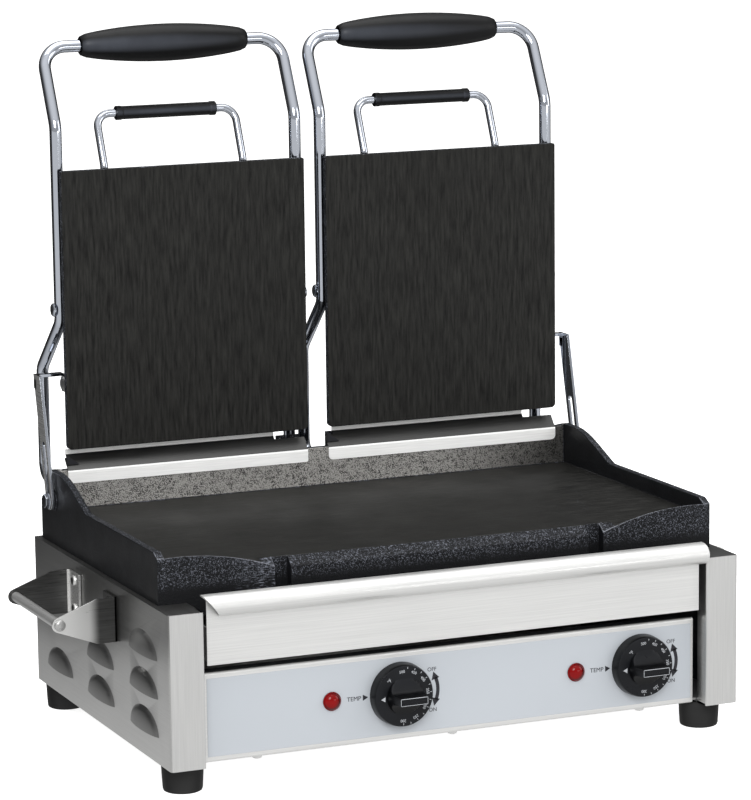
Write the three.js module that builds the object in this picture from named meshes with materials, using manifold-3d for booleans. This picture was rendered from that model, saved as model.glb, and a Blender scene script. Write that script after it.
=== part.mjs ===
// Double contact grill: a sheet-metal body with a cast lower plate, a grease drawer
// and two upper plates on chrome arms that fold down over the lower one.
// Millimetres. X runs to the right, Y to the back and Z up. Until the last lines, zero is
// the middle of the width, the front plane of the corner posts and the counter top.
// Sides are modelled on the right, and the left ones are their mirror images.
import * as THREE from 'three';
import { mergeVertices } from 'three/addons/utils/BufferGeometryUtils.js';
import Module from 'manifold-3d';

const wasm = await Module();
wasm.setup();

// Clearances and finish
const gap = 0.3;
const overrun = 4;
const sheet = 1.5;
const wideSides = 24;
const roundSides = 16;
const smallSides = 10;
const fewSides = 8;
const hiddenSides = 6;
const hexSides = 6;
const arcSteps = 4;
const stepTolerance = 0.01;

// Sheet-metal body
const body = {
  halfWidth: 243, depth: 322, bottom: 22.5, height: 121.5,
  postWidth: 28.5, postReturn: 15, shelfGap: 0.5, rearFlange: 12, edgeRadius: 3,
};
const louvre = {
  length: 64, height: 18, bulge: 4, wall: 0.9, firstY: 58, rearInset: 61, firstZ: 43.5, stepZ: 30, columns: 3,
};
const vent = { width: 6, length: 60, step: 18, count: 7, offset: 118 };
const foot = { sideInset: 19.5, frontInset: 29, rearInset: 14, topRadius: 16.5, bottomRadius: 15.5, edge: 3 };
const gland = {
  x: -150, z: 62, flangeRadius: 13, flange: 4, barrelRadius: 9, boreRadius: 4.5, inside: 9, nose: 5,
};

// Control panel with its knobs and lamps
const panel = { recess: 14.5, sideGap: 4.5, height: 70.5, flange: 13, bend: 2 };
const panelScrew = { endInset: 45, radius: 4, head: 3, setback: 7 };
const dial = { knobInset: 48, knobOffset: 57, z: 59.5 };
const knob = {
  radius: 25.25, rimRadius: 22.5, skirt: 10.2, rimRound: 2, wall: 2, hollow: 1.6, bore: 3.3, boreTop: 15,
  hubBase: 15, hubFront: 12, reach: 19, gripFoot: 11, gripHalf: 3.2,
};
const shaft = { radius: 3, tailDepth: 14 };
const thermostat = { width: 40, height: 40, depth: 28, bushingRadius: 5, nose: 1 };
const lamp = { radius: 7.5, dome: 4.2, stemRadius: 5.6, stem: 20 };

// Grease drawer, its rolled lip and the runners
const drawer = {
  recess: 5, sideGap: 4.2, gapBelow: 8, height: 38, sheet: 1.2,
  traySideInset: 4.3, trayHeight: 27, rearInset: 37,
};
const lip = { sideGap: 0.5, reach: 11, height: 17, curl: 3, cut: 10 };
const runner = { ledge: 18, front: 30 };

// Cast lower plate
const casting = {
  sideInset: 5.5, front: 37, rearInset: 5, seat: 12, rise: 27, slab: 13, wall: 6, wallHeight: 13,
  frontWall: 8, ledgeDepth: 26.5, ledge: 6, backWall: 9, backHeight: 32.5,
  earHeight: 33.7, earLength: 86.5, earCrown: 15.5, earRound: 6,
  notch: 13, bevel: 7, blockWidth: 96.5, blockDip: 6, blockShoulder: 7.4, blockCrown: 11, blockRise: 9,
  band: 11, bandStep: 0.8,
};
const earShares = { crownRun: 0.34, footRun: 0.4, footClimb: 0.48 };
const lowerElement = { radius: 4, inner: 24, sideInset: 23.5, frontInset: 29, rearInset: 28.5, loops: 4 };

// Hinges of the upper plates
const hinge = {
  rearInset: 9, rise: 20.3, boltRadius: 4, eyeRadius: 7.2, headRadius: 6.5, head: 3.2, innerHead: 1, lug: 9,
};
const innerBracket = {
  foot: 3, lug: 6, width: 21, plate: 3, height: 37, holeRadius: 2.5, holeDrop: 5, windowInset: 9,
};
const guard = {
  sheet: 1.2, lipDrop: 10, lipRound: 3.3, slopeRun: 11, slopeRise: 9, strip: 6.5, stripEnd: 27,
  legClearance: 0.7,
};

// Upper plates, covers and arms
const lid = { sideGap: 15, middleGap: 9.5, frontGap: 4.4, standoff: 29.1, thickness: 6, cornerRadius: 4 };
const cover = { sideInset: 16.5, depth: 25.7, lift: 3.6, topInset: 3.9, sheet: 1.2, edge: 5 };
const upperElement = { radius: 4, sideInset: 24, low: 36, topInset: 39.5, loops: 3 };
const arm = {
  radius: 5, sideInset: 1.8, flare: 5.9, innerFlare: 4.5, planeSetback: 4, heelSetback: 30,
  diagonalHigh: 10, diagonalDrop: 42.6, shoulderRise: 35.1, gripRise: 97.1, gripSetback: 27.5,
  heelBend: 12, legBend: 14, topBend: 20,
};
const grip = { endGap: 11.95, offset: -1.2, midRadius: 15.5, endRadius: 8.2, swellPower: 0.7 };
const pivot = { radius: 3, headRadius: 5.5, head: 2.6 };
const rodHandle = {
  radius: 3.25, sideInset: 29, rise: 45, lean: 18, neck: 4, seat: 6, seatY: 17.7, bend: 12,
};
const rodGrip = { endGap: 5.25, radius: 5.5, collarRadius: 5.9, collar: 5 };

// Stays that hold the upper plates open
const stay = {
  thickness: 2.5, width: 16, standoff: 4.25, slotWidth: 7, slotLength: 45,
  pinSetback: -2, pinRise: 81.7, boltSetback: -24.5, boltRise: -10.3,
  hookTop: 8.5, hookInset: 24, hookSetback: 2.5, hookWidth: 7, tabDrop: 16,
  pinRadius: 4, pinHeadRadius: 6, pinHead: 3,
};
const stayBolt = { radius: 3.2, headRadius: 7, head: 4 };
const stayBoss = { radius: 9, length: 1 };

// Carry handles on both sides
const carry = {
  span: 111, offset: 11.5, plate: 2, rootHeight: 36, drop: 27, straight: 16, reach: 53, tipRadius: 6,
  flange: 27, rodRadius: 4, neckRadius: 2.5, headRadius: 4.5, head: 2.6,
  screwInset: 12, screwSpread: 23, screwRadius: 4, screwHead: 2,
};

// Widths that follow the body's
const innerWall = body.halfWidth - sheet;
const postInner = body.halfWidth - body.postWidth;
const footX = body.halfWidth - foot.sideInset;
const panelHalf = postInner - panel.sideGap;
const knobX = panelHalf - dial.knobInset;
const lampX = knobX - dial.knobOffset;
const drawerHalf = postInner - drawer.sideGap;
const trayHalf = drawerHalf - drawer.traySideInset;
const lipHalf = postInner - lip.sideGap;
const castingHalf = body.halfWidth - casting.sideInset;
const notchHalf = castingHalf - casting.blockWidth;
const barHalf = notchHalf - casting.notch;
const lidOuter = castingHalf - lid.sideGap;
const lidCentre = (lidOuter + lid.middleGap) / 2;
const lidHalf = (lidOuter - lid.middleGap) / 2;
const coverHalf = lidHalf - cover.sideInset;
const armHalf = lidHalf - arm.sideInset;
const gripHalf = armHalf - arm.topBend - grip.endGap;
const rodHalf = coverHalf - rodHandle.sideInset;
const rodGripHalf = rodHalf - rodHandle.bend - rodGrip.endGap;
const outerLegX = lidCentre + armHalf;
const innerLegX = lidCentre - armHalf;
const outerHeelX = outerLegX + arm.flare;
const innerHeelX = innerLegX - arm.innerFlare;
const innerRelief = innerLegX + arm.radius + guard.legClearance;
const outerRelief = outerHeelX - arm.radius - guard.legClearance;
const stayX = castingHalf + stay.standoff;

// Depths that follow the body's
const rearPlateY = body.depth - 2 * sheet - gap;
const rearFootY = body.depth - foot.rearInset;
const louvreStepY = (body.depth - louvre.firstY - louvre.rearInset) / (louvre.columns - 1);
const trayBack = body.depth - drawer.rearInset;
const castingBack = body.depth - casting.rearInset;
const castingInner = casting.front + casting.frontWall;
const shelfBack = casting.front - body.shelfGap;
const backWallY = castingBack - casting.ledgeDepth;
const backWallRear = backWallY + casting.backWall;
const earTop = backWallY - casting.earCrown;
const earFoot = backWallY - casting.earLength;
const hingeY = castingBack - hinge.rearInset;
const guardFront = backWallY - gap - guard.sheet;
const guardBack = guardFront + guard.slopeRun + guard.sheet;
const plateY = hingeY - hinge.rise + gap;
const coverY = plateY + lid.thickness + gap;
const lidHeight = hingeY - lid.standoff - castingInner - lid.frontGap;
const coverHeight = lidHeight - cover.lift - cover.topInset;
const armY = hingeY - arm.planeSetback;
const gripY = hingeY + arm.gripSetback;
const pinY = hingeY + stay.pinSetback;
const boltY = hingeY + stay.boltSetback;
const handleY = coverY + rodHandle.seatY;
const carryMiddle = body.depth / 2 + carry.offset;
const carryFront = carryMiddle - carry.span / 2;
const carryRear = carryMiddle + carry.span / 2;

// Heights
const bodyTop = body.bottom + body.height;
const panelTop = body.bottom + panel.height;
const drawerBottom = panelTop + drawer.gapBelow;
const carryZ = bodyTop - carry.drop;
const castingBottom = bodyTop - casting.seat;
const surface = bodyTop + casting.rise;
const backWallTop = surface + casting.backHeight;
const hingeZ = surface + hinge.rise;
const plateBottom = hingeZ + lid.standoff;
const plateTop = plateBottom + lidHeight;
const coverBottom = plateBottom + cover.lift;
const pivotZ = (plateBottom + plateTop) / 2;
const gripZ = plateTop + arm.gripRise;
const pinZ = hingeZ + stay.pinRise;
const boltZ = hingeZ + stay.boltRise;
const handleZ = coverBottom + coverHeight;

// Materials
function finish(color, roughness, metalness) {
  return new THREE.MeshStandardMaterial({ color, roughness, metalness });
}
const stainless = () => finish(0xb9bcbf, 0.35, 1);
const darkSteel = () => finish(0x55575b, 0.45, 1);
const chrome = () => finish(0xdfe2e6, 0.12, 1);
const castIron = () => finish(0x2c2c2b, 0.7, 0.6);
const greyPaint = () => finish(0xc3c9d0, 0.4, 0.2);
const blackPlastic = () => finish(0x17181b, 0.35, 0);
const blackRubber = () => finish(0x151515, 0.8, 0);
const redLens = () => finish(0xc02018, 0.2, 0);

// From three.js geometry to solids and back
function solid(geometry, matrix = new THREE.Matrix4()) {
  const bare = new THREE.BufferGeometry();
  bare.setAttribute('position', geometry.getAttribute('position').clone());
  if (geometry.index) bare.setIndex(geometry.index.clone());
  bare.applyMatrix4(matrix);
  const merged = mergeVertices(bare, 1e-4);
  const order = merged.index.array;
  const triangles = [];
  for (let i = 0; i < order.length; i += 3) {
    const [a, b, c] = [order[i], order[i + 1], order[i + 2]];
    if (a !== b && b !== c && c !== a) triangles.push(a, b, c);
  }
  const vertProperties = new Float32Array(merged.getAttribute('position').array);
  const mesh = new wasm.Mesh({ numProp: 3, vertProperties, triVerts: new Uint32Array(triangles) });
  return new wasm.Manifold(mesh);
}

function geometryOf(manifold) {
  const { vertProperties, triVerts } = manifold.getMesh();
  const geometry = new THREE.BufferGeometry();
  geometry.setAttribute('position', new THREE.BufferAttribute(new Float32Array(vertProperties), 3));
  geometry.setIndex(new THREE.BufferAttribute(new Uint32Array(triVerts), 1));
  return geometry;
}

function mirrored(manifold) {
  const geometry = geometryOf(manifold);
  geometry.scale(-1, 1, 1);
  const order = geometry.index.array;
  for (let i = 0; i < order.length; i += 3) {
    const second = order[i + 1];
    order[i + 1] = order[i + 2];
    order[i + 2] = second;
  }
  return geometry;
}

function join(parts) {
  return parts.reduce((whole, part) => whole.add(part));
}

function cut(whole, tools) {
  return tools.reduce((rest, tool) => rest.subtract(tool), whole);
}

// Axes that an outline is drawn on: its own x, its own y, and the way it is extruded
const planes = {
  x: [[0, 1, 0], [0, 0, 1], [1, 0, 0]],
  y: [[0, 0, 1], [1, 0, 0], [0, 1, 0]],
  z: [[1, 0, 0], [0, 1, 0], [0, 0, 1]],
};

function onAxis(axis, from) {
  const columns = planes[axis].map((column) => new THREE.Vector3(...column));
  const matrix = new THREE.Matrix4().makeBasis(...columns);
  return matrix.setPosition(columns[2].clone().multiplyScalar(from));
}

// An outline is in (y, z) along x, in (z, x) along y, and in (x, y) along z
function prism(axis, shape, from, to) {
  const options = { depth: to - from, bevelEnabled: false, curveSegments: arcSteps };
  const geometry = new THREE.ExtrudeGeometry(shape, options);
  return solid(geometry, onAxis(axis, from));
}

function outline(points) {
  return new THREE.Shape(points.map(([x, y]) => new THREE.Vector2(x, y)));
}

function block(x0, x1, y0, y1, z0, z1) {
  const geometry = new THREE.BoxGeometry(x1 - x0, y1 - y0, z1 - z0);
  geometry.translate((x0 + x1) / 2, (y0 + y1) / 2, (z0 + z1) / 2);
  return solid(geometry);
}

// A round bar along an axis, with its centre given in that axis's outline plane
function bar(axis, radius, centre, from, to, sides = roundSides) {
  return turned(axis, [[0, from], [radius, from], [radius, to], [0, to]], centre, sides);
}

// A turned form: its profile is a list of radius and place along the axis
function turned(axis, profile, centre, sides = roundSides) {
  const points = profile.map(([radius, along]) => new THREE.Vector2(radius, along));
  const geometry = new THREE.LatheGeometry(points, sides);
  geometry.rotateX(Math.PI / 2);
  geometry.translate(centre[0], centre[1], 0);
  return solid(geometry, onAxis(axis, 0));
}

// Points of a path whose corners are rounded, with so many steps in each quarter turn
function rounded(corners, radii, quarterSteps = arcSteps) {
  const points = [];
  corners.forEach((corner, i) => {
    const here = new THREE.Vector3(...corner);
    const radius = radii[i] ?? 0;
    if (radius === 0 || i === 0 || i === corners.length - 1) {
      points.push(here);
      return;
    }
    const back = new THREE.Vector3(...corners[i - 1]).sub(here).normalize();
    const on = new THREE.Vector3(...corners[i + 1]).sub(here).normalize();
    const half = back.angleTo(on) / 2;
    const middle = back.clone().add(on).normalize().multiplyScalar(radius / Math.sin(half)).add(here);
    const first = here.clone().addScaledVector(back, radius / Math.tan(half)).sub(middle);
    const turn = Math.PI - 2 * half;
    const steps = Math.ceil((turn / (Math.PI / 2)) * quarterSteps - stepTolerance);
    const axis = first.clone().cross(here.clone().sub(middle)).normalize();
    for (let step = 0; step <= steps; step += 1) {
      points.push(first.clone().applyAxisAngle(axis, (turn * step) / steps).add(middle));
    }
  });
  return points;
}

// A route through given points, straight between them
class Route extends THREE.Curve {
  constructor(points) {
    super();
    this.points = points;
  }

  getPoint(t, target = new THREE.Vector3()) {
    const last = this.points.length - 1;
    const index = Math.min(Math.floor(t * last), last - 1);
    return target.lerpVectors(this.points[index], this.points[index + 1], t * last - index);
  }

  getUtoTmapping(u) {
    return u;
  }
}

function tube(points, radius, sides = smallSides) {
  const section = outline(Array.from({ length: sides }, (_, i) => {
    const angle = (2 * Math.PI * i) / sides;
    return [radius * Math.cos(angle), radius * Math.sin(angle)];
  }));
  const path = { extrudePath: new Route(points), steps: points.length - 1, bevelEnabled: false };
  return solid(new THREE.ExtrudeGeometry(section, path));
}

// The outline of a bent sheet: the path is its outer face, and the sheet lies on its left
function bentSheet(points, thickness) {
  const inner = points.map((point, i) => {
    const before = points[Math.max(i - 1, 0)];
    const after = points[Math.min(i + 1, points.length - 1)];
    const into = i > 0 ? point.clone().sub(before).normalize() : after.clone().sub(point).normalize();
    const out = i < points.length - 1 ? after.clone().sub(point).normalize() : into;
    const normal = new THREE.Vector3(-into.y - out.y, into.x + out.x, 0).normalize();
    const reach = thickness / (normal.x * -into.y + normal.y * into.x);
    return point.clone().addScaledVector(normal, reach);
  });
  return outline([...points, ...inner.reverse()].map((point) => [point.x, point.y]));
}

// The quarter ball that a louvre is pressed to: it bulges out of the side and ends at its slit
function louvreBulge(y, z, shrink) {
  const ball = new THREE.SphereGeometry(1, smallSides + 2, fewSides);
  ball.scale(louvre.bulge - shrink, louvre.length / 2 - shrink, louvre.height - shrink);
  ball.translate(body.halfWidth, y, z);
  const reach = louvre.length;
  const below = block(
    body.halfWidth - reach, body.halfWidth + reach, y - reach, y + reach, z - reach, z);
  return solid(ball).subtract(below);
}

function sidePanel() {
  const path = rounded([
    [postInner, body.postReturn, 0], [postInner, 0, 0], [body.halfWidth, 0, 0],
    [body.halfWidth, body.depth, 0], [body.halfWidth - body.rearFlange, body.depth, 0],
  ], [0, 0, body.edgeRadius, 0, 0]);
  const wall = prism('z', bentSheet(path, sheet), body.bottom, bodyTop);
  const castingEdge = castingHalf + gap;
  const rim = prism('z', outline([
    [postInner, sheet], [innerWall, sheet], [innerWall, body.depth], [castingEdge, body.depth],
    [castingEdge, shelfBack], [postInner, shelfBack],
  ]), bodyTop - sheet, bodyTop);
  const sill = block(postInner, innerWall, sheet, body.depth, body.bottom, body.bottom + sheet);
  let side = join([wall, rim, sill]);
  for (let column = 0; column < louvre.columns; column += 1) {
    for (let row = 0; row < louvre.columns - column; row += 1) {
      const y = louvre.firstY + column * louvreStepY;
      const z = louvre.firstZ + row * louvre.stepZ;
      const behind = block(0, innerWall, 0, body.depth, 0, bodyTop);
      side = side.add(louvreBulge(y, z, 0).subtract(behind)).subtract(louvreBulge(y, z, louvre.wall));
    }
  }
  return side;
}

function rearPanel() {
  const half = innerWall - gap;
  const low = body.bottom + 2 * sheet + 2 * gap;
  const plate = block(-half, half, rearPlateY, rearPlateY + sheet, low, bodyTop - sheet - gap);
  const middle = (low + bodyTop) / 2;
  const slots = [];
  for (let i = 0; i < vent.count; i += 1) {
    const x = (i - (vent.count - 1) / 2) * vent.step;
    slots.push(block(x - vent.width / 2, x + vent.width / 2, rearPlateY - overrun, body.depth + overrun,
      middle - vent.length / 2, middle + vent.length / 2));
  }
  const glandHole = bar(
    'y', gland.barrelRadius + gap, [gland.z, gland.x], rearPlateY - overrun, body.depth + overrun);
  return cut(plate, [...slots, glandHole]);
}

function bottomPlate() {
  const half = innerWall - gap;
  const low = body.bottom + sheet + gap;
  const plate = block(-half, half, panel.recess + sheet + gap, rearPlateY + sheet, low, low + sheet);
  const slots = [];
  for (const side of [-1, 1]) {
    for (let i = 0; i < vent.count; i += 1) {
      const x = side * vent.offset + (i - (vent.count - 1) / 2) * vent.step;
      slots.push(block(x - vent.width / 2, x + vent.width / 2, (body.depth - vent.length) / 2,
        (body.depth + vent.length) / 2, low - overrun, low + overrun));
    }
  }
  return cut(plate, slots);
}

function cordGland() {
  const inside = rearPlateY - gland.inside;
  const face = rearPlateY + sheet + gap;
  const flange = face + gland.flange;
  const nose = flange + gland.nose;
  return turned('y', [
    [gland.boreRadius, inside], [gland.barrelRadius, inside], [gland.barrelRadius, face],
    [gland.flangeRadius, face], [gland.flangeRadius, flange], [gland.barrelRadius, nose],
    [gland.boreRadius, nose], [gland.boreRadius, inside],
  ], [gland.z, gland.x]);
}

function footPad() {
  const top = body.bottom - gap;
  const sole = [[0, 0], [foot.bottomRadius - foot.edge, 0], [foot.bottomRadius, foot.edge]];
  return turned('z', [...sole, [foot.topRadius, top], [0, top]], [0, 0]);
}

// Control panel
function controlPanel() {
  const back = panel.recess + panel.flange;
  const path = rounded([
    [back, panelTop, 0], [panel.recess, panelTop, 0], [panel.recess, body.bottom, 0], [back, body.bottom, 0],
  ], [0, panel.bend, panel.bend, 0]);
  const face = prism('x', bentSheet(path, sheet), -panelHalf, panelHalf);
  const screws = [-1, 0, 1].map((side) => bar('z', panelScrew.radius,
    [side * (panelHalf - panelScrew.endInset), panel.recess + panelScrew.setback],
    body.bottom - panelScrew.head, body.bottom + sheet / 2, smallSides));
  const holes = [-1, 1].flatMap((side) => {
    const x = side * lampX;
    const through = [panel.recess - overrun, panel.recess + overrun];
    return [
      bar('y', lamp.stemRadius + gap, [dial.z, x], ...through),
      bar('y', thermostat.bushingRadius + gap, [dial.z, x + dial.knobOffset], ...through),
    ];
  });
  return cut(join([face, ...screws]), holes);
}

// Each dial piece is modelled round the Y axis and set in place by its mesh
function thermostatBox() {
  const front = panel.recess + sheet + gap;
  const half = thermostat.width / 2;
  const halfHigh = thermostat.height / 2;
  const box = block(-half, half, front, front + thermostat.depth, -halfHigh, halfHigh);
  const bushing = bar('y', thermostat.bushingRadius, [0, 0], panel.recess - thermostat.nose, front + sheet);
  const bore = bar('y', shaft.radius + gap, [0, 0], panel.recess - overrun, front + shaft.tailDepth);
  return box.add(bushing).subtract(bore);
}

function dialShaft() {
  const tail = panel.recess + sheet + shaft.tailDepth;
  return bar('y', shaft.radius, [0, 0], panel.recess - knob.boreTop, tail, smallSides);
}

function knobBody() {
  const back = panel.recess - gap;
  const face = back - knob.skirt;
  const inside = back - knob.hollow;
  const disc = turned('y', [
    [0, inside], [knob.radius - knob.wall, inside], [knob.radius - knob.wall, back], [knob.radius, back],
    [knob.radius, (back + face) / 2], [knob.rimRadius + knob.rimRound / 2, face + knob.rimRound / 2],
    [knob.rimRadius, face], [0, face],
  ].reverse(), [0, 0], wideSides);
  const hub = turned('y', [
    [0, face + knob.rimRound], [knob.hubBase, face + knob.rimRound], [knob.hubBase, face],
    [knob.hubFront, face - knob.reach], [0, face - knob.reach],
  ].reverse(), [0, 0], wideSides);
  const flare = new THREE.Shape();
  const front = face - knob.reach;
  const base = face + knob.rimRound + overrun;
  flare.moveTo(front - overrun, -knob.gripHalf);
  flare.lineTo(front, -knob.gripHalf);
  flare.quadraticCurveTo(face - knob.reach / 4, -knob.gripHalf, face, -knob.gripFoot);
  flare.lineTo(base, -knob.hubBase - overrun);
  flare.lineTo(base, knob.hubBase + overrun);
  flare.lineTo(face, knob.gripFoot);
  flare.quadraticCurveTo(face - knob.reach / 4, knob.gripHalf, front, knob.gripHalf);
  flare.lineTo(front - overrun, knob.gripHalf);
  const grab = hub.intersect(prism('x', flare, -knob.radius, knob.radius));
  const bore = bar('y', knob.bore, [0, 0], panel.recess - knob.boreTop - gap, panel.recess + overrun);
  const bushingRoom = bar('y', thermostat.bushingRadius + 2 * gap, [0, 0],
    panel.recess - thermostat.nose - 2 * gap, panel.recess + overrun);
  return cut(disc.add(grab), [bore, bushingRoom]);
}

function pilotLamp() {
  const back = panel.recess - gap;
  const dome = [];
  for (let step = 0; step <= arcSteps; step += 1) {
    const angle = (Math.PI / 2) * (step / arcSteps);
    dome.push([lamp.radius * Math.cos(angle), back - lamp.dome * Math.sin(angle)]);
  }
  return turned('y', [
    [0, back + lamp.stem], [lamp.stemRadius, back + lamp.stem], [lamp.stemRadius, back], ...dome,
  ].reverse(), [0, 0]);
}

// Grease drawer: a tray behind a flat front whose top edge is rolled forward
function greaseDrawer() {
  const top = drawerBottom + drawer.height;
  const t = drawer.sheet;
  const face = drawer.recess;
  const trayTop = drawerBottom + drawer.trayHeight;
  const front = block(-drawerHalf, drawerHalf, face, face + t, drawerBottom, top + t);
  const tray = block(-trayHalf, trayHalf, face, trayBack, drawerBottom, trayTop);
  const room = block(
    -trayHalf + t, trayHalf - t, face + t, trayBack - t, drawerBottom + t, trayTop + overrun);
  return join([front, tray.subtract(room), rolledLip(top)]);
}

function rolledLip(bottom) {
  const half = lip.height / 2;
  const roll = [];
  for (let step = 0; step <= 2 * arcSteps; step += 1) {
    const angle = Math.PI * (step / (2 * arcSteps));
    roll.push(new THREE.Vector3(
      drawer.recess - lip.reach * Math.sin(angle), bottom + half + half * Math.cos(angle), 0));
  }
  const curl = new THREE.Vector3(drawer.recess + lip.curl, bottom + lip.height, 0);
  const shell = prism('x', bentSheet([curl, ...roll], drawer.sheet), -lipHalf, lipHalf);
  const slant = prism('z', outline([
    [-lipHalf - overrun, drawer.recess], [-lipHalf, drawer.recess],
    [-lipHalf + lip.cut, drawer.recess - lip.reach - overrun],
    [-lipHalf - overrun, drawer.recess - lip.reach - overrun],
  ]), bottom - overrun, bottom + lip.height + overrun);
  return shell.subtract(slant);
}

// A bent rail that carries the drawer on its low ledge and the casting on its high one
function drawerRunner() {
  const web = trayHalf + gap + sheet;
  const low = drawerBottom - gap - sheet;
  const high = castingBottom - gap - sheet;
  const path = [[web - runner.ledge, low], [web, low], [web, high], [innerWall - gap, high]];
  const points = path.map(([x, z]) => new THREE.Vector3(z, x, 0)).reverse();
  return prism('y', bentSheet(points, sheet), runner.front, rearPlateY - gap);
}

// Cast lower plate: slab, skirt, side walls that rise to ears, back wall and rear ledge
function castingSide() {
  const wallTop = surface + casting.wallHeight;
  const crown = surface + casting.earHeight;
  const rear = backWallRear;
  const shape = new THREE.Shape();
  shape.moveTo(casting.front, castingBottom);
  shape.lineTo(castingBack, castingBottom);
  shape.lineTo(castingBack, surface + casting.ledge);
  shape.lineTo(rear, surface + casting.ledge);
  shape.lineTo(rear, crown - casting.earRound);
  shape.quadraticCurveTo(rear, crown, rear - casting.earRound, crown);
  shape.lineTo(earTop, crown);
  const run = earTop - earFoot;
  const climb = crown - wallTop;
  shape.bezierCurveTo(
    earTop - run * earShares.crownRun, crown, earFoot + run * earShares.footRun,
    wallTop + climb * earShares.footClimb, earFoot, wallTop);
  shape.lineTo(castingInner, wallTop);
  shape.lineTo(casting.front, surface + casting.blockRise);
  return prism('x', shape, castingHalf - casting.wall, castingHalf);
}

function castingFront() {
  const root = castingInner + casting.wall;
  const barShape = outline([
    [casting.front, castingBottom], [root, castingBottom], [root, surface],
    [castingInner, surface], [casting.front, surface - casting.bevel],
  ]);
  const middle = prism('x', barShape, -barHalf, barHalf);
  const third = casting.blockWidth / 3;
  const blockShape = new THREE.Shape();
  blockShape.moveTo(castingBottom, notchHalf);
  blockShape.lineTo(surface - casting.blockDip, notchHalf);
  blockShape.bezierCurveTo(
    surface + casting.blockShoulder, notchHalf + third,
    surface + casting.blockCrown, castingHalf - third,
    surface + casting.blockRise, castingHalf);
  blockShape.lineTo(castingBottom, castingHalf);
  const face = prism('y', blockShape, casting.front, castingInner);
  const above = block(0, castingHalf + overrun, casting.front - overrun, casting.front + casting.bandStep,
    surface - casting.band, surface + casting.wallHeight);
  const back = block(notchHalf, castingHalf, casting.front + casting.bandStep, root,
    castingBottom, surface - casting.blockDip);
  return { middle, right: face.subtract(above).add(back) };
}

// A plate whose two upper corners are rounded, as an outline in (y, z)
function roundedTop(near, far, low, high, radius) {
  const corners = [[near, low, 0], [far, low, 0], [far, high, 0], [near, high, 0], [near, low, 0]];
  const points = rounded(corners, [0, 0, radius, radius, 0]).slice(0, -1);
  return outline(points.map((point) => [point.x, point.y]));
}

function lowerPlate() {
  const w = castingHalf;
  const round = casting.wall / 2;
  const slab = block(-w, w, castingInner, castingBack, surface - casting.slab, surface);
  const ledge = block(-w, w, backWallY, castingBack, surface - casting.slab, surface + casting.ledge);
  const skirtFront = block(-w, w, castingInner, castingInner + casting.wall, castingBottom, surface);
  const skirtBack = block(-w, w, castingBack - casting.wall, castingBack, castingBottom, surface);
  const backShape = roundedTop(backWallY, backWallRear, surface - round, backWallTop, round);
  const backWall = prism('x', backShape, -w, w);
  const { middle, right } = castingFront();
  const lugReach = hinge.lug - gap;
  const lugTop = hingeZ + hinge.lug;
  const lugShape = roundedTop(hingeY - lugReach, hingeY + lugReach, surface, lugTop, hinge.lug / 2);
  const lugOuter = outerHeelX - arm.radius - gap;
  const lug = prism('x', lugShape, lugOuter - hinge.lug, lugOuter);
  const boss = bar('x', stayBoss.radius, [boltY, boltZ], w - round, w + stayBoss.length, smallSides);
  const bolt = bar('x', hinge.boltRadius + gap, [hingeY, hingeZ], -w - overrun, w + overrun);
  const sides = [castingSide(), right, lug, boss].flatMap((part) => [part, solid(mirrored(part))]);
  return join([slab, ledge, skirtFront, skirtBack, backWall, middle, ...sides]).subtract(bolt);
}

// Heating elements: one unbroken tube each, led to and fro under the plate that it heats
function elementRoute(from, to, low, high, loops, place) {
  const step = (to - from) / loops;
  const corners = [];
  for (let i = 0; i <= loops; i += 1) {
    const across = from + i * step;
    const ends = i % 2 === 0 ? [low, high] : [high, low];
    corners.push(place(across, ends[0]), place(across, ends[1]));
  }
  return rounded(corners, corners.map(() => step / 2 - gap), arcSteps / 2);
}

function lowerHeater() {
  const z = surface - casting.slab - gap - lowerElement.radius;
  const points = elementRoute(lowerElement.inner, castingHalf - lowerElement.sideInset,
    casting.front + lowerElement.frontInset, backWallY - lowerElement.rearInset,
    lowerElement.loops, (x, y) => [x, y, z]);
  return tube(points, lowerElement.radius, hiddenSides);
}

function upperHeater() {
  const y = coverY + upperElement.radius;
  const half = coverHalf - upperElement.sideInset;
  const points = elementRoute(lidCentre - half, lidCentre + half,
    plateBottom + upperElement.low, plateTop - upperElement.topInset,
    upperElement.loops, (x, z) => [x, y, z]);
  return tube(points, upperElement.radius, hiddenSides);
}

// Bracket that carries the inner end of a hinge behind the back wall
function innerHingeBracket() {
  const near = innerHeelX + arm.radius + gap;
  const far = near + innerBracket.width;
  const floor = surface + casting.ledge + gap;
  const front = guardBack + gap;
  const back = castingBack - gap;
  const base = block(near, far, front, back, floor, floor + innerBracket.foot);
  const lug = block(near, near + innerBracket.lug, front, back, floor, hingeZ + hinge.lug);
  const top = floor + innerBracket.height;
  const plate = block(near, far, front, front + innerBracket.plate, floor, top);
  const [before, behind] = [front - overrun, front + overrun];
  const holeZ = top - innerBracket.holeDrop;
  const holes = [near + innerBracket.lug / 2, far - innerBracket.lug / 2].map(
    (x) => bar('y', innerBracket.holeRadius, [holeZ, x], before, behind, smallSides));
  const window = [near + innerBracket.windowInset, far - innerBracket.windowInset];
  const opening = block(...window, before, behind, holeZ - innerBracket.holeDrop, top + overrun);
  const bolt = bar(
    'x', hinge.boltRadius + gap, [hingeY, hingeZ], near - overrun, near + innerBracket.lug + overrun);
  return cut(join([base, lug, plate]), [...holes, opening, bolt]);
}

// Hinge bolts: a hexagon head outside the outer heel, and a thin round one between the inner heels
function outerHingeBolt() {
  const head = outerHeelX + arm.radius + gap;
  const centre = [hingeY, hingeZ];
  const shank = bar('x', hinge.boltRadius, centre, head - 2 * arm.radius - hinge.lug, head + hinge.head / 2);
  return shank.add(bar('x', hinge.headRadius, centre, head, head + hinge.head, hexSides));
}

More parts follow.
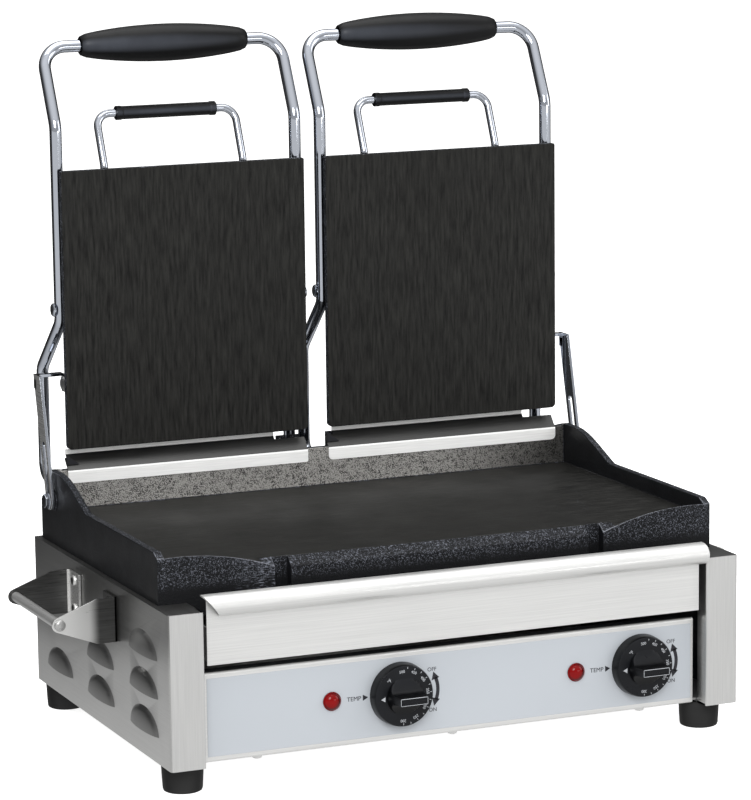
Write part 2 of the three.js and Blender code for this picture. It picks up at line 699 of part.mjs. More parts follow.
function innerHingeBolt() {
  const head = innerHeelX - arm.radius - gap;
  const centre = [hingeY, hingeZ];
  const end = innerHeelX + arm.radius + innerBracket.lug + hinge.head;
  return bar('x', hinge.boltRadius, centre, head - hinge.innerHead / 2, end).add(
    bar('x', hinge.headRadius, centre, head - hinge.innerHead, head));
}

// Splash guard: a lip in front of the back wall, a slope over it and an upright strip
function splashGuard(from, to, stripFrom, stripTo) {
  const front = guardFront;
  const top = backWallTop;
  const slopeY = front + guard.slopeRun;
  const slopeZ = top + guard.slopeRise;
  const path = [
    [slopeY, slopeZ + guard.strip], [slopeY, slopeZ], [front, top], [front, top - guard.lipDrop],
  ].map(([y, z]) => new THREE.Vector3(y, z, 0));
  const plate = prism('x', bentSheet(path, guard.sheet), from, to);
  const [low, high] = [top - guard.lipDrop, slopeZ + guard.strip + overrun];
  const lipCorners = [[high, from, 0], [high, to, 0], [low, to, 0], [low, from, 0], [high, from, 0]];
  const lipPoints = rounded(lipCorners, [0, 0, guard.lipRound, guard.lipRound, 0]).slice(0, -1);
  const lipFace = outline(lipPoints.map((point) => [point.x, point.y]));
  const back = slopeY + overrun;
  const rounding = prism('y', lipFace, front - overrun, back);
  const above = slopeZ + gap;
  const ends = [[from - overrun, stripFrom], [stripTo, to + overrun]].map(([a, b]) => block(
    a, b, front, back, above, above + guard.strip + overrun));
  const relief = block(-innerRelief, innerRelief, front, back, above, above + guard.strip + overrun);
  return cut(plate.intersect(rounding), [...ends, relief]);
}

// Arm: one bent tube from heel to heel, whose top bar carries the grip
function armRoute() {
  const heelY = hingeY + arm.heelSetback;
  const bend = pivotZ - arm.diagonalHigh;
  const legs = (x, footX) => [
    [footX, hingeY, hingeZ],
    [footX, heelY, hingeZ],
    [footX, heelY, bend - arm.diagonalDrop],
    [x, armY, bend],
    [x, armY, plateTop + arm.shoulderRise],
    [x, gripY, gripZ],
  ];
  const corners = [...legs(innerLegX, innerHeelX), ...legs(outerLegX, outerHeelX).reverse()];
  const radii = [0, arm.heelBend, arm.legBend, arm.legBend, arm.topBend, arm.topBend];
  return rounded(corners, [...radii, ...radii.slice().reverse()]);
}

function armTube() {
  const rod = tube(armRoute(), arm.radius);
  const along = (radius, centre, reach, sides) => (x) => bar(
    'x', radius, centre, x - reach, x + reach, sides);
  const through = arm.radius + overrun;
  const heels = [innerHeelX, outerHeelX];
  const eyes = heels.map(along(hinge.eyeRadius, [hingeY, hingeZ], arm.radius, roundSides));
  const bores = heels.map(along(hinge.boltRadius + gap, [hingeY, hingeZ], through, roundSides));
  const screws = [innerLegX, outerLegX].map(along(pivot.radius + gap, [armY, pivotZ], through, smallSides));
  return cut(join([rod, ...eyes]), [...bores, ...screws]);
}

function barrelGrip() {
  const half = gripHalf;
  const swell = grip.midRadius - grip.endRadius;
  const profile = [];
  for (let step = 0; step <= 2 * arcSteps; step += 1) {
    const share = step / arcSteps - 1;
    profile.push([grip.endRadius + swell * Math.cos((share * Math.PI) / 2) ** grip.swellPower, share * half]);
  }
  const bore = arm.radius + gap;
  const shape = [[bore, -half], ...profile, [bore, half], [bore, -half]];
  return turned('x', shape, [gripY, gripZ]).translate([lidCentre + grip.offset, 0, 0]);
}

// Upper plate and its cover
function upperPlate() {
  const r = lid.cornerRadius;
  const [x0, x1] = [lidCentre - lidHalf, lidCentre + lidHalf];
  const start = [pivotZ, x0, 0];
  const corners = [[plateBottom, x0, 0], [plateBottom, x1, 0], [plateTop, x1, 0], [plateTop, x0, 0]];
  const face = rounded([start, ...corners, start], [0, r, r, r, r, 0]).slice(0, -1);
  return prism('y', outline(face.map((point) => [point.x, point.y])), plateY, plateY + lid.thickness);
}

function plateCover() {
  const [x0, x1] = [lidCentre - coverHalf, lidCentre + coverHalf];
  const back = coverY + cover.depth;
  const top = coverBottom + coverHeight;
  const t = cover.sheet;
  const shell = (inset, frontY) => {
    const [low, high] = [coverBottom + inset, top - inset];
    const far = back - inset;
    const path = [
      [frontY, low], [far - cover.edge, low], [far, low + cover.edge],
      [far, high - cover.edge], [far - cover.edge, high], [frontY, high],
    ];
    return prism('x', outline(path), x0 + inset, x1 - inset);
  };
  const seats = [-1, 1].map((side) => bar('z', rodHandle.radius + gap,
    [lidCentre + side * rodHalf, handleY], top - overrun, top + overrun, smallSides));
  const pinNeck = stayX - stay.hookInset + gap;
  const pin = bar('x', stay.pinRadius, [pinY, pinZ], x1 - t / 2, pinNeck + gap, smallSides);
  const pinHead = bar('x', stay.pinHeadRadius, [pinY, pinZ], pinNeck, pinNeck + stay.pinHead, smallSides);
  const screwHoles = bar('x', pivot.radius + gap, [armY, pivotZ], x0 - overrun, x1 + overrun, smallSides);
  return cut(shell(0, coverY), [shell(t, coverY - overrun), ...seats, screwHoles]).add(pin).add(pinHead);
}

// Shoulder screws on which an upper plate levels itself in its arm
function pivotScrew(x, outward) {
  const coverSide = lidCentre + outward * coverHalf;
  const inside = coverSide - outward * (cover.sheet + pivot.head);
  const neck = x + outward * (arm.radius + gap);
  const tip = neck + outward * pivot.head;
  const centre = [armY, pivotZ];
  const along = (a, b, radius, sides) => bar('x', radius, centre, Math.min(a, b), Math.max(a, b), sides);
  const shank = along(inside, tip, pivot.radius, smallSides);
  const head = along(neck, tip, pivot.headRadius, smallSides);
  const nut = along(inside, coverSide - outward * (cover.sheet + gap), pivot.headRadius, hexSides);
  return join([shank, head, nut]);
}

function smallHandle() {
  const low = handleZ - rodHandle.seat;
  const corners = [
    [-rodHalf, handleY, low], [-rodHalf, handleY, handleZ + rodHandle.neck],
    [-rodHalf, handleY + rodHandle.lean, handleZ + rodHandle.rise],
  ];
  const other = corners.map(([x, y, z]) => [-x, y, z]).reverse();
  const radii = [0, rodHandle.bend, rodHandle.bend, rodHandle.bend, rodHandle.bend, 0];
  const points = rounded([...corners, ...other], radii);
  return tube(points, rodHandle.radius).translate([lidCentre, 0, 0]);
}

function smallGrip() {
  const half = rodGripHalf;
  const waist = half - rodGrip.collar;
  const inner = rodHandle.radius + gap;
  return turned('x', [
    [inner, -half], [rodGrip.collarRadius, -half], [rodGrip.collarRadius, -waist],
    [rodGrip.radius, -waist], [rodGrip.radius, waist], [rodGrip.collarRadius, waist],
    [rodGrip.collarRadius, half], [inner, half], [inner, -half],
  ], [handleY + rodHandle.lean, handleZ + rodHandle.rise]).translate([lidCentre, 0, 0]);
}

// Stay: a slotted strip hooked over a pin on the cover; its bolt rides in the slot
function stayAlong(distance) {
  const run = new THREE.Vector2(pinY - boltY, pinZ - boltZ);
  const step = run.clone().normalize().multiplyScalar(distance);
  return [boltY + step.x, boltZ + step.y];
}

function stayStrip(halfWidth, from, to) {
  const run = new THREE.Vector2(pinY - boltY, pinZ - boltZ).normalize();
  const side = new THREE.Vector2(-run.y, run.x).multiplyScalar(halfWidth);
  const [a, b] = [stayAlong(from), stayAlong(to)];
  const shape = outline([
    [a[0] + side.x, a[1] + side.y], [a[0] - side.x, a[1] - side.y],
    [b[0] - side.x, b[1] - side.y], [b[0] + side.x, b[1] + side.y],
  ]);
  return { shape, ends: [a, b] };
}

function stayLink() {
  const [x0, x1] = [stayX - stay.thickness, stayX];
  const half = stay.width / 2;
  const reach = Math.hypot(pinY - boltY, pinZ - boltZ);
  const strip = stayStrip(half, 0, reach + stay.hookTop);
  const blade = join([
    prism('x', strip.shape, x0, x1),
    bar('x', half, strip.ends[0], x0, x1),
  ]);
  const crown = pinZ + stay.hookTop;
  const hookFront = pinY + stay.hookSetback;
  const hookBack = hookFront + stay.hookWidth;
  const tabX = x0 - stay.hookInset;
  const hook = block(tabX, x1, hookFront, hookBack, crown - stay.thickness, crown);
  const tab = block(tabX, tabX + stay.thickness, pinY - half, hookBack, crown - stay.tabDrop, crown);
  const trim = block(
    x0 - overrun, x1 + overrun, pinY - 2 * stay.width, pinY + 2 * stay.width, crown, crown + stay.width);
  const slot = stayStrip(stay.slotWidth / 2, 0, stay.slotLength);
  const cuts = [
    prism('x', slot.shape, x0 - overrun, x1 + overrun),
    ...slot.ends.map((end) => bar('x', stay.slotWidth / 2, end, x0 - overrun, x1 + overrun, smallSides)),
    bar('x', stay.pinRadius + gap, [pinY, pinZ], tabX - overrun, tabX + overrun, smallSides),
    trim,
  ];
  return cut(join([blade, hook, tab]), cuts);
}

function staySlotBolt() {
  const inner = stayX - stay.thickness - gap;
  const outer = stayX + gap;
  const centre = [boltY, boltZ];
  const shank = bar('x', stayBolt.radius, centre, inner + gap, outer + stayBolt.head / 2, smallSides);
  return shank.add(bar('x', stayBolt.headRadius, centre, outer, outer + stayBolt.head));
}

// Carry handles: two plates screwed to the side, with a rod across their tips
function carryPlate() {
  const root = body.halfWidth + gap;
  const half = carry.rootHeight / 2;
  const tip = root + carry.reach - carry.tipRadius;
  const corner = new THREE.Vector2(root + carry.straight - tip, half);
  const slope = corner.angle() - Math.acos(carry.tipRadius / corner.length());
  const shape = new THREE.Shape();
  shape.moveTo(carryZ - half, root);
  shape.lineTo(carryZ - half, root + carry.straight);
  for (let step = 0; step <= arcSteps; step += 1) {
    const angle = -slope + (2 * slope * step) / arcSteps;
    shape.lineTo(carryZ + carry.tipRadius * Math.sin(angle), tip + carry.tipRadius * Math.cos(angle));
  }
  shape.lineTo(carryZ + half, root + carry.straight);
  shape.lineTo(carryZ + half, root);
  const plate = prism('y', shape, -carry.plate / 2, carry.plate / 2);
  const hole = bar('y', carry.neckRadius + gap, [carryZ, tip], -overrun, overrun, smallSides);
  return { plate: plate.subtract(hole), root, tip };
}

function carryBracket(y, side) {
  const { plate, root } = carryPlate();
  const half = carry.rootHeight / 2;
  const start = y - (side * carry.plate) / 2;
  const end = start + side * carry.flange;
  const flange = block(root, root + carry.plate, Math.min(start, end), Math.max(start, end),
    carryZ - half, carryZ + half);
  const screws = [-1, 1].map((way) => bar('x', carry.screwRadius,
    [end - side * carry.screwInset, carryZ + (way * carry.screwSpread) / 2],
    root + carry.plate / 2, root + carry.plate + carry.screwHead, smallSides));
  return join([plate.translate([0, y, 0]), flange, ...screws]);
}

function carryRod() {
  const { tip } = carryPlate();
  const centre = [carryZ, tip];
  const inside = carry.plate / 2 + gap;
  const outside = [carryFront - inside, carryRear + inside];
  return join([
    bar('y', carry.rodRadius, centre, carryFront + inside, carryRear - inside, smallSides),
    bar('y', carry.neckRadius, centre, outside[0] - gap, outside[1] + gap, smallSides),
    bar('y', carry.headRadius, centre, outside[0] - carry.head, outside[0], smallSides),
    bar('y', carry.headRadius, centre, outside[1], outside[1] + carry.head, smallSides),
  ]);
}

// The scene: every piece is a named mesh, and the left copies are mirrored
const grill = new THREE.Group();

function put(name, geometry, material, x = 0, y = 0, z = 0) {
  const mesh = new THREE.Mesh(geometry, material);
  mesh.name = name;
  mesh.position.set(x, y, z);
  grill.add(mesh);
}

function putPair(name, manifold, material) {
  put(`right_${name}`, geometryOf(manifold), material());
  put(`left_${name}`, mirrored(manifold), material());
}

function putBody() {
  putPair('side_panel', sidePanel(), stainless);
  put('rear_panel', geometryOf(rearPanel()), stainless());
  put('bottom_plate', geometryOf(bottomPlate()), stainless());
  put('cord_gland', geometryOf(cordGland()), blackRubber());
  for (const [row, y] of [['front', foot.frontInset], ['rear', rearFootY]]) {
    put(`right_${row}_foot`, geometryOf(footPad()), blackRubber(), footX, y);
    put(`left_${row}_foot`, geometryOf(footPad()), blackRubber(), -footX, y);
  }
}

function putControls() {
  put('control_panel', geometryOf(controlPanel()), greyPaint());
  for (const [name, side] of [['left', -1], ['right', 1]]) {
    const lampPlace = side * lampX;
    const knobPlace = lampPlace + dial.knobOffset;
    put(`${name}_thermostat`, geometryOf(thermostatBox()), darkSteel(), knobPlace, 0, dial.z);
    put(`${name}_dial_shaft`, geometryOf(dialShaft()), stainless(), knobPlace, 0, dial.z);
    put(`${name}_knob`, geometryOf(knobBody()), blackPlastic(), knobPlace, 0, dial.z);
    put(`${name}_pilot_lamp`, geometryOf(pilotLamp()), redLens(), lampPlace, 0, dial.z);
  }
}

function putBase() {
  put('grease_drawer', geometryOf(greaseDrawer()), stainless());
  putPair('drawer_runner', drawerRunner(), stainless);
  put('lower_plate', geometryOf(lowerPlate()), castIron());
  putPair('lower_element', lowerHeater(), darkSteel);
  putPair('hinge_bracket', innerHingeBracket(), castIron);
  putPair('outer_hinge_bolt', outerHingeBolt(), chrome);
  putPair('inner_hinge_bolt', innerHingeBolt(), chrome);
  const [near, far] = [lid.middleGap, lidOuter];
  const leftGuard = splashGuard(-far, -near, -outerRelief, -near - guard.stripEnd);
  const rightGuard = splashGuard(near, far, near, far - guard.stripEnd);
  put('left_splash_guard', geometryOf(leftGuard), stainless());
  put('right_splash_guard', geometryOf(rightGuard), stainless());
}

function putLids() {
  putPair('arm', armTube(), chrome);
  putPair('grip', barrelGrip(), blackPlastic);
  putPair('upper_plate', upperPlate(), castIron);
  putPair('plate_cover', plateCover(), stainless);
  putPair('upper_element', upperHeater(), darkSteel);
  putPair('outer_pivot_screw', pivotScrew(outerLegX, 1), chrome);
  putPair('inner_pivot_screw', pivotScrew(innerLegX, -1), chrome);
  putPair('rod_handle', smallHandle(), chrome);
  putPair('rod_grip', smallGrip(), blackPlastic);
  putPair('stay_link', stayLink(), chrome);
  putPair('stay_bolt', staySlotBolt(), chrome);
}

function putCarryHandles() {
  putPair('front_carry_bracket', carryBracket(carryFront, 1), stainless);
  putPair('rear_carry_bracket', carryBracket(carryRear, -1), stainless);
  putPair('carry_rod', carryRod(), chrome);
}

putBody();
putControls();
putBase();
putLids();
putCarryHandles();

// The origin moves to the middle of the footprint, on the counter
const box = new THREE.Box3().setFromObject(grill);
const middle = box.getCenter(new THREE.Vector3());
const shift = new THREE.Vector3(-middle.x, -middle.y, -box.min.z);
for (const mesh of grill.children) mesh.position.add(shift);
console.log('shift', shift.toArray().map((value) => Number(value.toFixed(4))));

export default grill;
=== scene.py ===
from math import acos, atan2, ceil, cos, degrees, hypot, pi, radians, sin, tan

import bmesh
import bpy
from bmesh.types import BMEdge, BMFace, BMVert
from mathutils import Matrix, Vector


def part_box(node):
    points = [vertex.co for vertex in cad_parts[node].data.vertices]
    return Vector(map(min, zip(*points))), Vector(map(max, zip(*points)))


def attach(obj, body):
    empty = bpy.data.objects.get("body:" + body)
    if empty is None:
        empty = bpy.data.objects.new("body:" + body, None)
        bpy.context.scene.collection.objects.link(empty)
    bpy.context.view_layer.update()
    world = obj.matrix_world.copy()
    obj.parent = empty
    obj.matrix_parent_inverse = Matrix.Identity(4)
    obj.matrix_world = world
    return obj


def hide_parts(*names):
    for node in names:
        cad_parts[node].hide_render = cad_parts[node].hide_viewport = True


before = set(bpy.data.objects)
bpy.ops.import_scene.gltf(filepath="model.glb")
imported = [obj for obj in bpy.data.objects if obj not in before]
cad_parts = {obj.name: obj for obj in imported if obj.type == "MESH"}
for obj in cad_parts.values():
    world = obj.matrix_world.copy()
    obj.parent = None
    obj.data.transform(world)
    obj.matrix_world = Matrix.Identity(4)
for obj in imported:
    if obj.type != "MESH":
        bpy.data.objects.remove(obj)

bl_info = {
    "name": "Double contact grill",
    "version": (1, 0, 0),
    "blender": (4, 5, 0),
    "location": "View3D > Sidebar > Grill",
    "description": "Builds the visible pieces of a double contact grill around its packed frame",
    "category": "Add Mesh",
}

# Places are in metres from the front plane of the corner posts, the middle of the width
# and the counter top. Pieces are modelled on the right, and mirrored for the left. The
# pairs for the hinge, the stay and the bars are (y, z); other pairs are a start and an end.
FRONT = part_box("left_side_panel")[0].y
GAP = 0.0003
SHEET = 0.0015
THIN_SHEET = 0.0012
PRINT_HALF = 0.00006
TINY = 1e-6
SMALL = 1e-5
SHARP_FROM = 35.0
CAPITAL_SHARE = 0.72

LOUVRE = {
    "length": 0.064, "height": 0.018, "bulge": 0.0042,
    "y": 0.058, "z": 0.0435, "step_y": 0.1015, "step_z": 0.030}
LAMPS = (("left", -0.105), ("right", 0.105))
KNOB_FROM_LAMP = 0.057
KNOB_DEPTH = 0.0102
DRAWER_RECESS = 0.005
HINGE = (0.308, 0.1913)
PIN_HOLE = 0.0043
STAY_BOLT = (0.2835, 0.1810)
STAY_PIN = (0.306, 0.273)
CASTING_WALL = 0.006
CASTING_FRONT = 0.045
CASTING_BOTTOM = 0.132
NOTCH = (0.128, 0.141)
SKIRT_INSIDE = (0.051, 0.311)
BACK_WALL = 0.2905
LID = {"centre": 0.116, "half": 0.1065, "y": 0.288, "thickness": 0.006, "low": 0.2204, "high": 0.4499}
COVER = {"half": 0.090, "front": 0.2943, "back": 0.320, "low": 0.224, "high": 0.446}
INNER_LEG, INNER_HEEL = 0.0113, 0.0068
OUTER_LEG, OUTER_HEEL = 0.2207, 0.2266
LEG_Y = 0.304
ARM_BAR = (0.3355, 0.547)
ROD_BAR = (0.330, 0.491)
CARRY_ROOT, CARRY_Z = 0.2433, 0.117


# Sizes and colours that a user may change

def length(name, description, default):
    return bpy.props.FloatProperty(name=name, description=description, default=default, unit="LENGTH")


def colour(name, description, default):
    return bpy.props.FloatVectorProperty(
        name=name, description=description, default=default, size=3, min=0.0, max=1.0, subtype="COLOR")


class GrillSizes(bpy.types.PropertyGroup):
    body_half_width: length("Body half width", "Half of the sheet-metal body's width", 0.243)
    body_depth: length("Body depth", "Front of the posts to the back sheet", 0.322)
    body_bottom: length("Body bottom", "Height of the body's lower edge", 0.0225)
    body_top: length("Body top", "Height of the body's upper rim", 0.144)
    post_width: length("Post width", "Width of each corner post's face", 0.0285)
    panel_half_width: length("Panel half width", "Half of the control panel's width", 0.210)
    panel_recess: length("Panel recess", "How far the panel stands behind the posts", 0.0145)
    panel_top: length("Panel top", "Height of the control panel's upper fold", 0.093)
    dial_height: length("Dial height", "Height of the knobs and lamps", 0.0595)
    knob_radius: length("Knob radius", "Radius of the knob's skirt", 0.02525)
    drawer_bottom: length("Drawer bottom", "Height of the drawer front's lower edge", 0.101)
    drawer_height: length("Drawer height", "Height of the drawer's flat front", 0.038)
    casting_half_width: length("Casting half width", "Half of the lower plate's width", 0.2375)
    cooking_height: length("Cooking surface", "Height of the lower cooking surface", 0.171)
    tube_radius: length("Arm tube radius", "Radius of the arms' tube", 0.005)
    grip_length: length("Grip length", "Length of the big grips", 0.1455)
    edge: length("Casting edge", "Rounding of the cast edges", 0.0014)


class GrillColours(bpy.types.PropertyGroup):
    steel: colour("Steel", "Brushed sheet steel", (0.74, 0.74, 0.73))
    chrome: colour("Chrome", "Chromed tubes, strips and screws", (0.53, 0.56, 0.62))
    panel: colour("Panel", "Face of the control panel", (0.475, 0.505, 0.540))
    iron: colour("Cast iron", "Rough cast iron", (0.0060, 0.0064, 0.0076))
    plate: colour("Cooking plate", "Ground and seasoned cooking surfaces", (0.0110, 0.0109, 0.0100))
    worn: colour("Worn iron", "Bright grains on the back wall", (0.42, 0.41, 0.39))
    plastic: colour("Plastic", "Knobs and grips", (0.0045, 0.005, 0.0062))
    rubber: colour("Rubber", "Feet and cord bush", (0.012, 0.012, 0.012))
    lens: colour("Lamp", "Lamp lenses", (0.12, 0.0006, 0.0008))
    light_ink: colour("Light ink", "Numbers on the knobs", (0.52, 0.54, 0.57))
    dark_ink: colour("Dark ink", "Words on the panel", (0.008, 0.008, 0.014))
    # Painted shade: the dark colour for the gap above the panel, the liner behind the louvres and the guards'
    # end triangles
    hollow: colour("Hollow", "Dark gaps between the sheets", (0.0025, 0.0030, 0.0060))
    floor: colour("Floor", "Studio floor", (0.90, 0.90, 0.90))


# Nodes, and the shader groups that more than one finish uses

class NodeSheet:
    """Puts nodes in a tree and wires their inputs by name or number"""

    def __init__(self, tree):
        self.tree = tree

    def wire(self, socket, value):
        if isinstance(value, bpy.types.NodeSocket):
            self.tree.links.new(value, socket)
        elif socket.type == "RGBA":
            socket.default_value = (*value[:3], 1.0)
        else:
            socket.default_value = value

    def add(self, kind, wires=None, **settings):
        node = self.tree.nodes.new(kind)
        for key, value in settings.items():
            setattr(node, key, value)
        for key, value in (wires or {}).items():
            self.wire(node.inputs[key], value)
        return node

    def maths(self, operation, *values):
        return self.add("ShaderNodeMath", dict(enumerate(values)), operation=operation).outputs[0]

    def split(self, vector, axis):
        return self.add("ShaderNodeSeparateXYZ", {"Vector": vector}).outputs[axis]

    def noise(self, vector, scale, detail, roughness):
        return self.add("ShaderNodeTexNoise", {
            "Vector": vector, "Scale": scale, "Detail": detail, "Roughness": roughness}).outputs["Fac"]

    def spread(self, value, start, end, low=0.0, high=1.0, curve="LINEAR"):
        """Goes from low to high while a value goes from start to end"""
        return self.add("ShaderNodeMapRange", {
            "Value": value, "From Min": start, "From Max": end, "To Min": low, "To Max": high},
            interpolation_type=curve).outputs["Result"]

    def ramp(self, value, start, end, low=0.0, high=1.0):
        return self.spread(value, start, end, low, high, "SMOOTHSTEP")


def shared_group(name, inputs, outputs, fill):
    """A shader node group with named inputs and outputs, built on its first use"""
    found = bpy.data.node_groups.get(name)
    if found:
        return found
    tree = bpy.data.node_groups.new(name, "ShaderNodeTree")
    for label, default in inputs.items():
        kind = "NodeSocketFloat" if isinstance(default, float) else "NodeSocketVector"
        socket = tree.interface.new_socket(name=label, in_out="INPUT", socket_type=kind)
        if default is not None:
            socket.default_value = default
    for label in outputs:
        tree.interface.new_socket(name=label, in_out="OUTPUT", socket_type="NodeSocketFloat")
    sheet = NodeSheet(tree)
    start = sheet.add("NodeGroupInput")
    sheet.add("NodeGroupOutput", fill(sheet, start.outputs))
    return tree


def grain_group():
    """Fine brushed lines: noise stretched along one direction"""

    def fill(sheet, given):
        stretched = sheet.add("ShaderNodeVectorMath", {
            0: given["Vector"], 1: given["Stretch"]}, operation="MULTIPLY").outputs[0]
        return {"Grain": sheet.spread(sheet.noise(stretched, 1.0, 4.0, 0.62), 0.32, 0.68)}

    return shared_group(
        "Brushed grain", {"Vector": None, "Stretch": (20.0, 1500.0, 1500.0)}, ["Grain"], fill)


def cloud_group():
    """Soft patches that vary a value between a low and a high end"""

    def fill(sheet, given):
        cloud = sheet.noise(given["Vector"], given["Scale"], 5.0, 0.55)
        return {"Value": sheet.spread(cloud, 0.3, 0.7, given["Low"], given["High"])}

    return shared_group(
        "Patches", {"Vector": None, "Scale": 8.0, "Low": 0.0, "High": 1.0}, ["Value"], fill)


def cast_group():
    """Sand-cast skin: lumps of two sizes, with bright grains on the highest lumps"""
    finer, grain_band = 3.1, 0.22

    def fill(sheet, given):
        coarse = sheet.noise(given["Vector"], given["Scale"], 3.0, 0.6)
        cells = sheet.add("ShaderNodeTexVoronoi", {
            "Vector": given["Vector"], "Scale": sheet.maths("MULTIPLY", given["Scale"], finer)})
        height = sheet.maths("ADD", coarse, cells.outputs["Distance"])
        full = sheet.maths("ADD", given["Threshold"], grain_band)
        return {"Height": height, "Grains": sheet.spread(height, given["Threshold"], full)}

    return shared_group(
        "Cast skin", {"Vector": None, "Scale": 420.0, "Threshold": 0.8}, ["Height", "Grains"], fill)


def shade(colour_value, share):
    return tuple(channel * share for channel in colour_value[:3])


class Finish(NodeSheet):
    """A material with its Principled shader and the object's own coordinates at hand"""

    def __init__(self, name):
        self.material = bpy.data.materials.new(name)
        self.material.use_nodes = True
        super().__init__(self.material.node_tree)
        self.shader = self.tree.nodes["Principled BSDF"]
        self.place = self.add("ShaderNodeTexCoord").outputs["Object"]

    def put_group(self, tree, **values):
        return self.add("ShaderNodeGroup", {"Vector": self.place, **values}, node_tree=tree).outputs

    def grain(self, stretch):
        return self.put_group(grain_group(), Stretch=stretch)["Grain"]

    def patches(self, scale, low=0.0, high=1.0):
        return self.put_group(cloud_group(), Scale=scale, Low=low, High=high)["Value"]

    def cast(self, scale, threshold):
        return self.put_group(cast_group(), Scale=scale, Threshold=threshold)

    def mix(self, factor, first, second):
        node = self.add("ShaderNodeMix", {"Factor": factor}, data_type="RGBA")
        for key, value in (("A", first), ("B", second)):
            self.wire(next(s for s in node.inputs if s.name == key and s.type == "RGBA"), value)
        return next(s for s in node.outputs if s.type == "RGBA")

    def tones(self, factor, base, low, high):
        """Two shares of one colour, mixed by a factor"""
        return self.mix(factor, shade(base, low), shade(base, high))

    def across(self, axis):
        return self.split(self.place, axis)

    def from_middle(self, axis):
        return self.maths("ABSOLUTE", self.across(axis))

    def edge_on(self, start, end):
        """0 where the surface faces the camera, 1 where it turns away"""
        return self.ramp(self.add("ShaderNodeLayerWeight", {"Blend": 0.5}).outputs["Facing"], start, end)

    def satin(self, low, high, grain, scale=9.0, weight=0.08):
        """Roughness in patches, a little higher on the lines of the grain"""
        return self.maths("MULTIPLY_ADD", grain, weight, self.patches(scale, low, high))

    def bump(self, height, strength, distance):
        bump = self.add("ShaderNodeBump", {"Height": height, "Strength": strength, "Distance": distance})
        self.feed("Normal", bump.outputs["Normal"])

    def feed(self, key, value):
        self.wire(self.shader.inputs[key], value)

    def done(self, base, roughness, metallic=0.0, specular=0.5):
        for key, value in (("Base Color", base), ("Roughness", roughness),
                           ("Metallic", metallic), ("Specular IOR Level", specular)):
            self.feed(key, value)
        return self.material


# Finishes. Each sheet's: stretch of its grain, roughness, brightness and metallic share.

SHEET_STEELS = {
    "front_steel": ((14.0, 1500.0, 1500.0), 0.36, 1.07, 0.80),
    "post_steel": ((1500.0, 1500.0, 16.0), 0.36, 0.88, 0.85),
    # painted_louvre_shade_steel: the louvre domes darkened as painted shade
    "painted_louvre_shade_steel": ((900.0, 16.0, 900.0), 0.36, 0.30, 1.0),
    # painted_lit_steel and shaded_steel: lit and shaded copies for the splash guards, a painted highlight on
    # the lip and strip, painted shade on the slope
    "painted_lit_steel": ((30.0, 900.0, 900.0), 0.38, 1.34, 0.25),
    "shaded_steel": ((30.0, 900.0, 900.0), 0.34, 0.13, 1.0),
    "cover_steel": ((900.0, 900.0, 16.0), 0.38, 0.62, 1.0),
    "dull_steel": ((60.0, 600.0, 600.0), 0.42, 0.75, 1.0),
    "rod_steel": ((500.0, 20.0, 500.0), 0.24, 0.62, 0.55),
}


def brushed_steel(name, colours, stretch, roughness, share, metallic):
    finish = Finish(name)
    grain = finish.grain(stretch)
    finish.bump(grain, 0.12, 0.0001)
    return finish.done(
        finish.tones(grain, colours.steel, 0.88 * share, share),
        finish.satin(roughness - 0.05, roughness + 0.06, grain), metallic)


def side_steel(colours):
    """Brushed side sheet with painted shade and reflection, darker towards its upper and rear edges"""
    finish = Finish("Side steel")
    grain = finish.grain((1500.0, 16.0, 1500.0))
    # Painted shade and reflection: a ramp on height, leaning back, turns the lighter tone into the dark one
    height = finish.maths("MULTIPLY_ADD", finish.across("Y"), 0.14, finish.across("Z"))
    lighter_tone = finish.tones(grain, colours.steel, 0.62, 0.72)
    dark = finish.tones(grain, colours.steel, 0.29, 0.36)
    finish.bump(grain, 0.12, 0.0001)
    return finish.done(
        finish.mix(finish.ramp(height, 0.070, 0.108), lighter_tone, dark), finish.satin(0.28, 0.36, grain), 1.0)


def bracket_steel(name, colours, start, end):
    """Sheet with a painted reflection: dark on one part of its reach and bright on the other"""
    finish = Finish(name)
    grain = finish.grain((30.0, 900.0, 900.0))
    # Painted reflection: a ramp across x turns the dark tone into a bright one
    bright = finish.ramp(finish.from_middle("X"), start, end)
    dark = finish.tones(grain, colours.steel, 0.10, 0.16)
    return finish.done(
        finish.mix(bright, dark, shade(colours.steel, 1.1)), finish.satin(0.22, 0.30, grain), 0.9)


def front_bracket(colours):
    return bracket_steel("Front bracket steel", colours, 0.257, 0.267)


def rear_bracket(colours):
    return bracket_steel("Rear bracket steel", colours, 0.2470, 0.2465)


def chrome(colours):
    finish = Finish("Chrome")
    # Painted reflection: the base darkens where the surface turns away from the camera, giving dark edge
    # lines
    rim = finish.edge_on(0.58, 0.80)
    return finish.done(finish.tones(rim, colours.chrome, 1.0, 0.10), finish.patches(40.0, 0.04, 0.10), 1.0)


def heated_steel(colours):
    finish = Finish("Heater sheath")
    tint = finish.mix(finish.patches(60.0), (0.05, 0.045, 0.05), (0.14, 0.12, 0.11))
    return finish.done(tint, finish.patches(90.0, 0.4, 0.6), 0.8)


